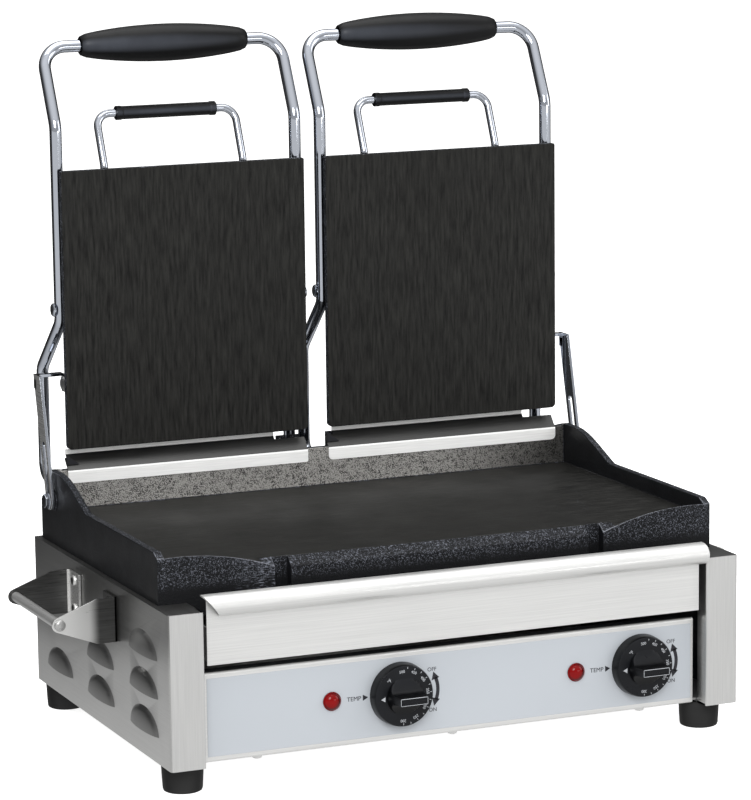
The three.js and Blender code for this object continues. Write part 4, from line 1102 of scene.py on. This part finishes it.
def casting(sizes):
    """Lower plate, box-modelled: cut into fields, walls drawn up and front blocks drawn out"""
    half, surface = sizes.casting_half_width, sizes.cooking_height
    wall, back, wall_top, low_wall, rise = half - CASTING_WALL, 0.317, 0.184, 0.006, 0.007
    ear = bezier([(0.275, 0.2047), (0.25086, 0.2047), (0.2324, 0.19394), (0.204, wall_top)], 14)
    rear = [(0.2995, 0.1987), (0.2988, 0.2022), (0.2970, 0.2040), (0.2935, 0.2047)]
    shape = block((-half, CASTING_FRONT, CASTING_BOTTOM), (half, back, surface))
    blocks = [NOTCH[1] + (half - NOTCH[1]) * step / 9 for step in range(1, 9)]
    cut_at(shape, "x", [sign * x for sign in (-1, 1) for x in (*NOTCH, wall, *blocks)])
    cut_at(shape, "y", [SKIRT_INSIDE[0], BACK_WALL, SKIRT_INSIDE[1], *[y for y, _ in ear + rear]])
    walls = faces_where(shape, lambda middle, normal: (
        normal.z > 0.5 and (abs(middle.x) > wall or middle.y > BACK_WALL)))
    tops, _ = drawn_faces(shape, walls, (0.0, 0.0, low_wall))
    high = [face for face in tops if face.calc_center_median().y < rear[0][0] - SMALL]
    _, verts = drawn_faces(shape, high, (0.0, 0.0, rise))
    for vert in verts:
        vert.co.z = height_along([*rear, *ear, (CASTING_FRONT, wall_top)], vert.co.y)
        if abs(vert.co.x) < wall - SMALL:
            vert.co.z = min(vert.co.z, surface + 0.0325)
    draw_out_front(shape, half, surface)
    slab = 0.013
    underside = faces_where(shape, lambda middle, normal: (
        normal.z < -0.5 and abs(middle.x) < wall and SKIRT_INSIDE[0] < middle.y < SKIRT_INSIDE[1]
        and middle.z < CASTING_BOTTOM + 0.0001))
    drawn_faces(shape, underside, (0.0, 0.0, surface - slab - CASTING_BOTTOM))
    soften(outward(shape), sizes.edge, 3, 34.0)
    paint_casting(shape, surface, wall)
    return shape


def draw_out_front(shape, half, surface):
    """Draws the front bar and the two corner blocks forward, past the notches between them"""
    fronts = faces_where(shape, lambda middle, normal: (
        normal.y < -0.5 and abs(middle.y - CASTING_FRONT) < 1e-4
        and not NOTCH[0] < abs(middle.x) < NOTCH[1]))
    _, verts = drawn_faces(shape, fronts, (0.0, -0.008, 0.0))
    for vert in verts:
        if vert.co.z < surface - SMALL:
            continue
        if abs(vert.co.x) < NOTCH[0] + 0.0001:
            vert.co.z = surface - 0.007
            continue
        vert.co.z = block_height(vert.co.x, surface)
        if abs(vert.co.x) > half - CASTING_WALL - 0.0001 and vert.co.z > surface:
            vert.co.z = surface + 0.009
    merged(shape, 2e-5)


def paint_casting(shape, surface, wall):
    """0 rough skin, 1 cooking surface, 2 back wall, 3 smooth sides, 4 front edges lightened by wear and a
    painted highlight
    """
    painted(shape, 0)
    painted(shape, 3, faces_where(shape, lambda middle, normal: abs(normal.x) > 0.7))
    front_edges = faces_where(shape, lambda middle, normal: (
        normal.y < -0.2 and normal.z > 0.2 and middle.y < CASTING_FRONT + 0.002 and abs(middle.x) > 0.14))
    painted(shape, 4, [
        face for face in front_edges if min(edge.calc_length() for edge in face.edges) < 0.0008])
    painted(shape, 1, faces_where(shape, lambda middle, normal: (
        abs(middle.x) < wall and normal.z > 0.9 and abs(middle.z - surface) < 0.001)))
    painted(shape, 2, faces_where(shape, lambda middle, normal: (
        abs(middle.x) < wall - 0.001 and normal.y < -0.5 and middle.y > 0.28
        and middle.z > surface + 0.001)))


def eye_lug(front, back, low, crown, radius, past, steps, start, end, edge):
    """A lug with a round crown and the hinge bolt's hole; past is how far the crown turns under"""
    outline = [(front, low), (back, low), *arc(crown, radius, -past, 180.0 + past, steps)]
    return cut_plate("x", outline, [circle(HINGE, PIN_HOLE)], start, end, edge)


def hinge_lug():
    return eye_lug(
        front=0.2993, back=0.3167, low=0.177, crown=(0.308, 0.1926), radius=0.0087, past=10.0, steps=14,
        start=0.2123, end=0.2213, edge=0.0008)


def hinge_bracket():
    """Cast bracket behind the back wall: foot, lug and an upright plate with two holes"""
    near, far, front, back, low, top = 0.0121, 0.0331, 0.3015, 0.3167, 0.1778, 0.2143
    window, deep, inset = 0.009, 0.010, 0.003
    foot_plate = soft_block((near, front, 0.1773), (far, back, 0.1803), 0.0006)
    lug = eye_lug(
        front, back, low, crown=(0.3091, 0.1926), radius=0.0076, past=5.0, steps=12,
        start=near, end=near + 0.006, edge=0.0005)
    plate = cut_plate("y", [
        (near, low), (far, low), (far, top), (far - window, top), (far - window, top - deep),
        (near + window, top - deep), (near + window, top), (near, top)],
        [circle((x, top - 0.005), 0.0024, 14) for x in (near + inset, far - inset)],
        front, front + 0.003, 0.0004)
    return joined(foot_plate, lug, plate)


def splash_guard(start, end, strip_start, strip_end):
    """Bent sheet over the back wall: lip, slope and an upright strip on part of its width"""
    front, top, middle_gap, strip_cut, lip = 0.2890, 0.2023, 0.017, 0.0102, 0.010
    slope_back, slope_top = front + 0.011, top + 0.0132
    path = [(slope_back, top + 0.0167), (slope_back, slope_top), (front, top), (front, top - lip)]
    shape = fold_strip("x", path, start, end)
    cut_at(shape, "x", [
        place for place in (strip_start, strip_end, -middle_gap, middle_gap) if start < place < end])
    cut_at(shape, "z", [top + strip_cut])
    above = faces_where(shape, lambda middle, normal: (
        middle.z > top + strip_cut + 0.0001
        and (not strip_start < middle.x < strip_end or abs(middle.x) < middle_gap)))
    bmesh.ops.delete(shape, geom=above, context="FACES")
    corners = [vert for vert in shape.verts if vert.co.z < top - 0.009 and (
        abs(vert.co.x - start) < TINY or abs(vert.co.x - end) < TINY)]
    rounded(shape, corners, 0.0036, 5, "VERTICES")
    # Painted highlight on the lip and the upright strip (0), painted shade on the slope (1)
    painted(thick(bend_folds(shape, "x", path, [0.0015, 0.0022], 4), THIN_SHEET), 0)
    painted(shape, 1, faces_where(shape, lambda middle, normal: top + 0.0006 < middle.z < top + 0.0128))
    # A dark triangle of painted shadow closes the left end under the slope
    fold = cut_plate(
        "y", [(start, slope_top), (start, top + 0.0050), (start + 0.011, top + 0.0050)], [],
        front + 0.003, front + 0.0034)
    return joined(shape, painted(fold, 2))


# Upper plates, covers and arms

def upper_plate():
    """Flat plate with large lower corners and small upper ones; 0 cooking face, 1 the rest"""
    low, high, large, small = LID["low"], LID["high"], 0.0040, 0.0016
    x0, x1 = LID["centre"] - LID["half"], LID["centre"] + LID["half"]
    outline = []
    for x, z, radius, turn in (
            (x0 + large, low + large, large, 180.0), (x1 - large, low + large, large, 270.0),
            (x1 - small, high - small, small, 0.0), (x0 + small, high - small, small, 90.0)):
        outline += arc((x, z), radius, turn, turn + 90.0, 6)
    shape = painted(cut_plate("y", outline, [], LID["y"], LID["y"] + LID["thickness"], 0.0008), 1)
    return painted(shape, 0, faces_where(shape, lambda middle, normal: normal.y < -0.9))


def plate_cover():
    """Sheet cover over the heater, with the stay's pin on its outer side"""
    x0, x1 = LID["centre"] - COVER["half"], LID["centre"] + COVER["half"]
    shape = block((x0, COVER["front"], COVER["low"]), (x1, COVER["back"], COVER["high"]))
    open_face = faces_where(shape, lambda middle, normal: normal.y < -0.5)
    bmesh.ops.delete(shape, geom=open_face, context="FACES_ONLY")
    thick(rounded(shape, [edge for edge in shape.edges if not edge.is_boundary], 0.004, 5), THIN_SHEET)
    pin = bar("x", 0.004, STAY_PIN, x1 - 0.0006, 0.2184, sides=24)
    head = lathed("x", [
        (0.0, 0.2181), (0.0056, 0.2181), (0.0060, 0.2186), (0.0058, 0.2200), (0.0040, 0.2209),
        (0.0, 0.2211)], STAY_PIN, 32)
    return joined(shape, pin, head)


def arm(sizes):
    """Bent tube from one hinge eye to the other, over the grip's bar"""
    y, z = HINGE

    def leg(x, foot_x):
        return [
            (foot_x, y, z), (foot_x, y + 0.030, z), (foot_x, y + 0.030, z + 0.0911),
            (x, LEG_Y, z + 0.1337), (x, LEG_Y, z + 0.2937), (x, ARM_BAR[0], z + 0.3557)]

    radii = [0.0, 0.012, 0.014, 0.014, 0.020, 0.020]
    route = leg(INNER_LEG, INNER_HEEL) + leg(OUTER_LEG, OUTER_HEEL)[::-1]
    rod = tube(route, radii + radii[::-1], sizes.tube_radius, 32, 14)
    eye = there_and_back([(PIN_HOLE, -0.005), (0.0064, -0.005), (0.0072, -0.0042)])
    eyes = [lathed("x", [(radius, x + along) for radius, along in eye], HINGE, 40)
            for x in (INNER_HEEL, OUTER_HEEL)]
    return joined(rod, *eyes)


def barrel_grip(sizes):
    half, middle, end, bore, steps, fullness = sizes.grip_length / 2, 0.0155, 0.0082, 0.0053, 28, 0.7
    rim = [(bore, -half + 0.002), (bore + 0.0012, -half + 0.0002), (end - 0.0012, -half),
           (end - 0.0002, -half + 0.0008)]
    shares = [2 * step / steps - 1 for step in range(1, steps)]
    belly = [(end + (middle - end) * cos(share * pi / 2) ** fullness, share * half) for share in shares]
    grip = lathed("x", there_and_back(rim, belly), ARM_BAR, 56)
    return moved(grip, (LID["centre"] - 0.0012, 0.0, 0.0))


def rod_handle():
    leg = [(-0.061, 0.312, 0.440), (-0.061, 0.312, 0.450), (-0.061, *ROD_BAR)]
    route = leg + [(-x, y, z) for x, y, z in reversed(leg)]
    return moved(tube(route, [0.012] * 6, 0.00325, 24, 12), (LID["centre"], 0.0, 0.0))


def rod_grip():
    half, bore, waist, body, ring = 0.04375, 0.0035, 0.0055, 0.0056, 0.0059
    profile = there_and_back([
        (bore, -half), (body, -half), (ring, -half + 0.0004), (ring, -half + 0.0044),
        (body, -half + 0.0050), (waist, -half + 0.0056)])
    return moved(lathed("x", profile, ROD_BAR, 40), (LID["centre"], 0.0, 0.0))


def pivot_screw(start, end, head_base, way, nut_start, nut_end):
    place = (LEG_Y, HINGE[1] + 0.1437)
    return joined(
        bar("x", 0.003, place, start, end, sides=20),
        domed_head("x", 0.0055, 0.0026, place, head_base, way),
        hexagon("x", 0.0055, place, nut_start, nut_end))


def outer_pivot_screw():
    return pivot_screw(
        start=0.2022, end=0.2280, head_base=0.2260, way=1.0, nut_start=0.2022, nut_end=0.2045)


def inner_pivot_screw():
    return pivot_screw(
        start=0.0040, end=0.0298, head_base=0.0060, way=-1.0, nut_start=0.0275, nut_end=0.0298)


def outer_hinge_bolt():
    return joined(
        bar("x", 0.004, HINGE, 0.2129, 0.2335, sides=24), hexagon("x", 0.0065, HINGE, 0.2319, 0.2351))


def inner_hinge_bolt():
    return joined(
        bar("x", 0.004, HINGE, 0.0010, 0.0210, sides=24), bar("x", 0.0065, HINGE, 0.0005, 0.0015, 0.0003))


# Stays

def stay_link():
    """Slotted strip with a hook over the cover's pin; 1 its outer face, 0 the rest"""
    outer, sheet, half, slot_half, slot_length = 0.24175, 0.0025, 0.008, 0.0035, 0.045
    run_y, run_z = (Vector(STAY_PIN) - Vector(STAY_BOLT)).normalized()
    lean = degrees(atan2(run_z, run_y))
    crown = STAY_PIN[1] + 0.0085

    def across(along, side):
        return (STAY_BOLT[0] + run_y * along - run_z * side, STAY_BOLT[1] + run_z * along + run_y * side)

    ends = [across((crown - STAY_BOLT[1] - run_y * side) / run_z, side) for side in (-half, half)]
    outline = [*arc(STAY_BOLT, half, lean + 90.0, lean + 270.0, 16), *ends]
    slot = [*arc(STAY_BOLT, slot_half, lean + 90.0, lean + 270.0, 10),
            *arc(across(slot_length, 0.0), slot_half, lean - 90.0, lean + 90.0, 10)]
    strip = cut_plate("x", outline, [slot], outer - sheet, outer, 0.0004)
    hook_x, front, back, low = outer - sheet - 0.024, 0.298, 0.3155, crown - 0.016
    path = [(outer, crown - 0.012), (outer, crown), (hook_x, crown), (hook_x, low)]
    hook = folded("y", path, [0.004, 0.004], 0.3085, back, sheet, 5, 0.0003)
    tab = cut_plate("x", [
        (front, crown - 0.014), (front + 0.002, low), (back, low), (back, crown - 0.003),
        (front, crown - 0.003)], [circle(STAY_PIN, PIN_HOLE)], hook_x, hook_x + sheet, 0.0003)
    whole = painted(joined(strip, hook, tab), 0)
    return painted(whole, 1, faces_where(whole, lambda middle, normal: normal.x > 0.5))


def stay_bolt():
    return joined(
        bar("x", 0.0032, STAY_BOLT, 0.2393, 0.2440, sides=24), bar("x", 0.0070, STAY_BOLT, 0.24205, 0.2431),
        hexagon("x", 0.0062, STAY_BOLT, 0.2431, 0.24605))


# Carry handles

def carry_bracket(y, way):
    """Tapered plate that holds the rod, with a flange and two screws on the side sheet"""
    root, half, straight, reach, tip_radius, sheet = CARRY_ROOT, 0.018, 0.016, 0.053, 0.006, 0.002
    rod_hole, flange_width, screw_inset, screw_spread = 0.0028, 0.027, 0.012, 0.0115
    tip, low, high = root + reach - tip_radius, CARRY_Z - half, CARRY_Z + half
    corner = Vector((root + straight - tip, half))
    slope = degrees(atan2(corner.y, corner.x) - acos(tip_radius / corner.length))
    outline = [(root, low), (root + straight, low), *arc((tip, CARRY_Z), tip_radius, -slope, slope, 12),
               (root + straight, high), (root, high)]
    plate = cut_plate(
        "y", outline, [circle((tip, CARRY_Z), rod_hole, 16)], y - sheet / 2, y + sheet / 2, 0.0003)
    start = y - way * sheet / 2
    end = start + way * flange_width
    flange = soft_block((root, min(start, end), low), (root + sheet, max(start, end), high), 0.0003)
    screws = [
        domed_head("x", 0.004, 0.0020, (end - way * screw_inset, CARRY_Z + side * screw_spread),
                   root + sheet, 1.0) for side in (-1, 1)]
    return joined(plate, flange, *screws)


def carry_rod():
    place = (CARRY_ROOT + 0.047, CARRY_Z)
    return joined(
        bar("y", 0.004, place, 0.1183, 0.2267), bar("y", 0.0025, place, 0.1150, 0.2300, sides=20),
        domed_head("y", 0.0045, 0.0026, place, 0.1157, -1.0),
        domed_head("y", 0.0045, 0.0026, place, 0.2293, 1.0))


# Operators: one for each piece or group of like pieces

class GRILL_OT_side_panels(bpy.types.Operator):
    """Fold the side sheets with their corner posts and press their louvres"""
    bl_idname = "grill.side_panels"
    bl_label = "Side panels"

    def execute(self, context):
        put_pair("side_panel", lambda: side_panel(context.scene.grill_sizes), "base", "stainless",
                 "side_steel", "post_steel", "painted_louvre_shade_steel", "painted_shade")
        return {"FINISHED"}


class GRILL_OT_feet(bpy.types.Operator):
    """Turn the four rubber feet and the cord bush"""
    bl_idname = "grill.feet"
    bl_label = "Feet and cord bush"

    def execute(self, context):
        sizes = context.scene.grill_sizes
        for row, y in (("front", 0.029), ("rear", 0.308)):
            put_pair(f"{row}_foot", lambda: foot(0.2235, y, sizes), "base", "black_rubber", "rubber")
        put("cord_bush", cord_bush(), "base", ["rubber"], ["cord_gland"])
        return {"FINISHED"}


class GRILL_OT_control_panel(bpy.types.Operator):
    """Fold the control panel, lay its face on it and print its words"""
    bl_idname = "grill.control_panel"
    bl_label = "Control panel"

    def execute(self, context):
        sizes = context.scene.grill_sizes
        put("panel_sheet", panel_sheet(sizes), "base", ["front_steel", "painted_shade"],
            ["control_panel"])
        put("panel_overlay", panel_overlay(sizes), "base", ["panel_face"])
        for side, lamp_x in LAMPS:
            put(f"{side}_panel_print", panel_print(lamp_x, sizes), "base", ["dark_ink"],
                weighted=False)
        return {"FINISHED"}


class GRILL_OT_knobs(bpy.types.Operator):
    """Turn the knobs, pull out their grips and print their dials"""
    bl_idname = "grill.knobs"
    bl_label = "Knobs"

    def execute(self, context):
        sizes = context.scene.grill_sizes
        for side, lamp_x in LAMPS:
            spot, body = (lamp_x + KNOB_FROM_LAMP, 0.0, sizes.dial_height), f"{side}_dial"
            put(f"{side}_knob_visual", moved(knob(sizes), spot), body, ["knob_plastic"],
                [f"{side}_knob"])
            put(f"{side}_knob_marks", moved(knob_marks(sizes), spot), body, ["light_ink"],
                weighted=False)
        return {"FINISHED"}


class GRILL_OT_lamps(bpy.types.Operator):
    """Turn the two red lamps"""
    bl_idname = "grill.lamps"
    bl_label = "Pilot lamps"

    def execute(self, context):
        sizes = context.scene.grill_sizes
        for side, x in LAMPS:
            put(f"{side}_lamp_visual", moved(pilot_lamp(sizes), (x, 0.0, sizes.dial_height)), "base",
                ["lamp_lens"], [f"{side}_pilot_lamp"])
        return {"FINISHED"}


class GRILL_OT_drawer(bpy.types.Operator):
    """Fold the grease drawer and roll its lip"""
    bl_idname = "grill.drawer"
    bl_label = "Grease drawer"

    def execute(self, context):
        sizes = context.scene.grill_sizes
        put("grease_drawer_visual", joined(drawer_box(sizes), rolled_lip(sizes)), "drawer",
            ["front_steel"], ["grease_drawer"])
        return {"FINISHED"}


class GRILL_OT_casting(bpy.types.Operator):
    """Model the cast lower plate with its ears, front blocks and hinge lugs"""
    bl_idname = "grill.casting"
    bl_label = "Lower plate"

    def execute(self, context):
        boss = bar("x", 0.009, STAY_BOLT, 0.2345, 0.2385)
        fittings = [hinge_lug(), mirrored(hinge_lug()), boss, mirrored(boss.copy())]
        whole = joined(casting(context.scene.grill_sizes), *[painted(fitting, 0) for fitting in fittings])
        put("lower_plate_casting", whole, "base",
            ["rough_iron", "lower_face", "worn_iron", "smooth_iron", "edge_highlight_and_wear"], ["lower_plate"])
        put_pair("hinge_bracket", hinge_bracket, "base", "cast_iron", "rough_iron")
        return {"FINISHED"}


class GRILL_OT_splash_guards(bpy.types.Operator):
    """Bend the two sheets over the back wall"""
    bl_idname = "grill.splash_guards"
    bl_label = "Splash guards"

    def execute(self, context):
        for side, places in (
                ("left", {"start": -0.2225, "end": -0.0095, "strip_start": -0.2209, "strip_end": -0.0365}),
                ("right", {"start": 0.0095, "end": 0.2225, "strip_start": 0.0095, "strip_end": 0.1955})):
            put(f"{side}_guard", splash_guard(**places), "base",
                ["painted_lit_steel", "shaded_steel", "painted_shade"], [f"{side}_splash_guard"])
        return {"FINISHED"}


class GRILL_OT_upper_plates(bpy.types.Operator):
    """Cut the upper plates and press their covers"""
    bl_idname = "grill.upper_plates"
    bl_label = "Upper plates"

    def execute(self, context):
        put_pair("upper_plate", upper_plate, "lid", "cast_iron", "upper_face", "rough_iron")
        put_pair("plate_cover", plate_cover, "lid", "stainless", "cover_steel")
        return {"FINISHED"}


class GRILL_OT_arms(bpy.types.Operator):
    """Bend the chrome arms and turn their grips"""
    bl_idname = "grill.arms"
    bl_label = "Arms and grips"

    def execute(self, context):
        sizes = context.scene.grill_sizes
        put_pair("arm", lambda: arm(sizes), "lid", "chrome", "chrome", weighted=False)
        put_pair("grip", lambda: barrel_grip(sizes), "lid", "black_plastic", "grip_plastic", weighted=False)
        return {"FINISHED"}


class GRILL_OT_rod_handles(bpy.types.Operator):
    """Bend the small handles on the upper plates and slip on their grips"""
    bl_idname = "grill.rod_handles"
    bl_label = "Rod handles"

    def execute(self, context):
        put_pair("rod_handle", rod_handle, "lid", "chrome", "chrome", weighted=False)
        put_pair("rod_grip", rod_grip, "lid", "black_plastic", "grip_plastic")
        return {"FINISHED"}


class GRILL_OT_screws(bpy.types.Operator):
    """Turn the pivot screws and the hinge bolts"""
    bl_idname = "grill.screws"
    bl_label = "Pivot screws and hinge bolts"

    def execute(self, context):
        for make, body in ((outer_pivot_screw, "lid"), (outer_hinge_bolt, "base"),
                           (inner_pivot_screw, "lid"), (inner_hinge_bolt, "base")):
            put_pair(make.__name__, make, body, "chrome", "chrome")
        return {"FINISHED"}


class GRILL_OT_stays(bpy.types.Operator):
    """Cut the slotted stays and their bolts"""
    bl_idname = "grill.stays"
    bl_label = "Stays"

    def execute(self, context):
        put_pair("stay_link", stay_link, "stay", "chrome", "chrome", "rod_steel")
        put_pair("stay_bolt", stay_bolt, "stay_slider", "chrome", "chrome")
        return {"FINISHED"}


class GRILL_OT_carry_handles(bpy.types.Operator):
    """Bend the carry brackets and set their rods"""
    bl_idname = "grill.carry_handles"
    bl_label = "Carry handles"

    def execute(self, context):
        for row, y, way in (("front", 0.117, 1.0), ("rear", 0.228, -1.0)):
            put_pair(f"{row}_carry_bracket", lambda: carry_bracket(y, way), "base", "stainless",
                     f"{row}_bracket")
        put_pair("carry_rod", carry_rod, "base", "chrome", "rod_steel")
        return {"FINISHED"}


class GRILL_OT_inner_pieces(bpy.types.Operator):
    """Give the frame's own hidden pieces their finishes"""
    bl_idname = "grill.inner_pieces"
    bl_label = "Inner pieces"

    def execute(self, context):
        finishes = {
            "rear_panel": "front_steel", "bottom_plate": "dull_steel", "drawer_runner": "dull_steel",
            "lower_element": "heated_steel", "upper_element": "heated_steel",
            "thermostat": "dull_steel", "dial_shaft": "dull_steel"}
        for node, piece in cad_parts.items():
            plain = node.removeprefix("left_").removeprefix("right_")
            if plain in finishes:
                piece.data.materials.clear()
                piece.data.materials.append(material(finishes[plain]))
        return {"FINISHED"}


# Stage

def soft_light(name, place, target, size, energy):
    light = bpy.data.lights.new(name, "AREA")
    light.shape = "RECTANGLE"
    light.size, light.size_y = size
    light.energy = energy
    holder = bpy.data.objects.new(name, light)
    place = Vector(place)
    aim = (Vector(target) - place).to_track_quat("-Z", "Y").to_matrix().to_4x4()
    holder.matrix_world = Matrix.Translation(place) @ aim
    bpy.context.scene.collection.objects.link(holder)


def studio_sky(scene):
    """Bright overhead and in front, dark behind, as tubes and sheets reflect it"""
    world = bpy.data.worlds.new("Studio")
    world.use_nodes = True
    scene.world = world
    sheet = NodeSheet(world.node_tree)
    direction = sheet.add("ShaderNodeTexCoord").outputs["Generated"]
    front = sheet.ramp(sheet.split(direction, "Y"), -0.5, 0.55, 0.50, 0.05)
    above = sheet.ramp(sheet.split(direction, "Z"), 0.25, 0.85, 0.0, 0.55)
    background = world.node_tree.nodes["Background"]
    world.node_tree.links.new(sheet.maths("ADD", front, above), background.inputs["Color"])
    background.inputs["Strength"].default_value = 1.0


def studio_floor(colours):
    """White to the camera; what reflects it sees it bright in front and dimmer behind the grill"""
    finish = Finish("Studio floor")
    white = (1.0, 1.0, 1.0)
    finish.done(finish.tones(finish.patches(0.8), colours.floor, 0.99, 1.0), 0.9, specular=0.0)
    depth = finish.ramp(finish.across("Y"), -0.20, 1.00, 0.80, 0.04)
    glow = finish.add("ShaderNodeEmission", {"Color": white, "Strength": depth})
    plain = finish.add("ShaderNodeEmission", {"Color": white, "Strength": 0.75})
    lit = finish.add("ShaderNodeAddShader", {0: finish.shader.outputs[0], 1: plain.outputs[0]})
    seen = finish.add("ShaderNodeLightPath").outputs["Is Camera Ray"]
    mixed = finish.add("ShaderNodeMixShader", {0: seen, 1: glow.outputs[0], 2: lit.outputs[0]})
    output = next(node for node in finish.tree.nodes if node.type == "OUTPUT_MATERIAL")
    finish.tree.links.new(mixed.outputs[0], output.inputs["Surface"])
    return finish.material


def photo_camera(scene):
    """The photograph's own view of the grill: its turn and tilt, and its middle in pixels"""
    turn, tilt, roll = -0.394, 0.18, -0.014
    width, height, focal, middle_x, middle_y = 751, 800, 3607.9, 331.6, 427.064
    place = (-1.139742, -2.649886, 0.766298)
    forward = Vector((-sin(turn) * cos(tilt), cos(turn) * cos(tilt), -sin(tilt)))
    level = forward.cross(Vector((0, 0, 1))).normalized()
    plumb = level.cross(forward)
    right = cos(roll) * level + sin(roll) * plumb
    up = -sin(roll) * level + cos(roll) * plumb
    camera = bpy.data.cameras.new("Camera")
    camera.sensor_fit = "HORIZONTAL"
    camera.sensor_width = 36.0
    camera.lens = camera.sensor_width * focal / width
    camera.shift_x = (width / 2 - middle_x) / width
    camera.shift_y = (middle_y - height / 2) / width
    camera.clip_end = 200.0
    holder = bpy.data.objects.new("Camera", camera)
    facing = Matrix((right, up, -forward)).transposed().to_4x4()
    holder.matrix_world = Matrix.Translation(place) @ facing
    scene.collection.objects.link(holder)
    scene.camera = holder


class GRILL_OT_stage(bpy.types.Operator):
    """Lay the floor, hang the lights and set the camera"""
    bl_idname = "grill.stage"
    bl_label = "Stage"

    def execute(self, context):
        scene = context.scene
        shape = bmesh.new()
        bmesh.ops.create_grid(shape, x_segments=1, y_segments=1, size=40.0)
        mesh = bpy.data.meshes.new("floor")
        shape.to_mesh(mesh)
        shape.free()
        floor = bpy.data.objects.new("floor", mesh)
        scene.collection.objects.link(floor)
        mesh.materials.append(studio_floor(scene.grill_colours))
        low = (0.0, 0.0, 0.2)
        soft_light("Key", (-1.3, -2.6, 1.9), low, (1.4, 1.4), 60.0)
        soft_light("Top", (0.2, 0.2, 2.6), low, (2.2, 2.2), 34.0)
        soft_light("Side", (2.4, -1.4, 1.2), low, (1.2, 1.6), 14.0)
        soft_light("Strip", (1.15, -2.4, 0.45), (0.0, 0.3, 0.5), (1.0, 0.22), 4.0)
        studio_sky(scene)
        scene.view_settings.view_transform = "Standard"
        photo_camera(scene)
        return {"FINISHED"}


OPERATORS = (
    GRILL_OT_stage, GRILL_OT_side_panels, GRILL_OT_feet, GRILL_OT_control_panel, GRILL_OT_knobs,
    GRILL_OT_lamps, GRILL_OT_drawer, GRILL_OT_casting, GRILL_OT_splash_guards, GRILL_OT_upper_plates,
    GRILL_OT_arms, GRILL_OT_rod_handles, GRILL_OT_screws, GRILL_OT_stays, GRILL_OT_carry_handles,
    GRILL_OT_inner_pieces)


class GRILL_PT_build(bpy.types.Panel):
    """Lists the pieces of the grill"""
    bl_label = "Grill"
    bl_idname = "GRILL_PT_build"
    bl_space_type = "VIEW_3D"
    bl_region_type = "UI"
    bl_category = "Grill"

    def draw(self, context):
        for operator in OPERATORS:
            self.layout.operator(operator.bl_idname)
        for group in (context.scene.grill_sizes, context.scene.grill_colours):
            for name in group.bl_rna.properties.keys():
                if name not in ("rna_type", "name"):
                    self.layout.prop(group, name)


CLASSES = (GrillSizes, GrillColours, *OPERATORS, GRILL_PT_build)


def register():
    for cls in CLASSES:
        bpy.utils.register_class(cls)
    bpy.types.Scene.grill_sizes = bpy.props.PointerProperty(type=GrillSizes)
    bpy.types.Scene.grill_colours = bpy.props.PointerProperty(type=GrillColours)


def unregister():
    del bpy.types.Scene.grill_colours
    del bpy.types.Scene.grill_sizes
    for cls in reversed(CLASSES):
        bpy.utils.unregister_class(cls)


def main():
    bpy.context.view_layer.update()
    register()
    for operator in OPERATORS:
        group, name = operator.bl_idname.split(".")
        getattr(getattr(bpy.ops, group), name)()


if __name__ == "__main__":
    main()
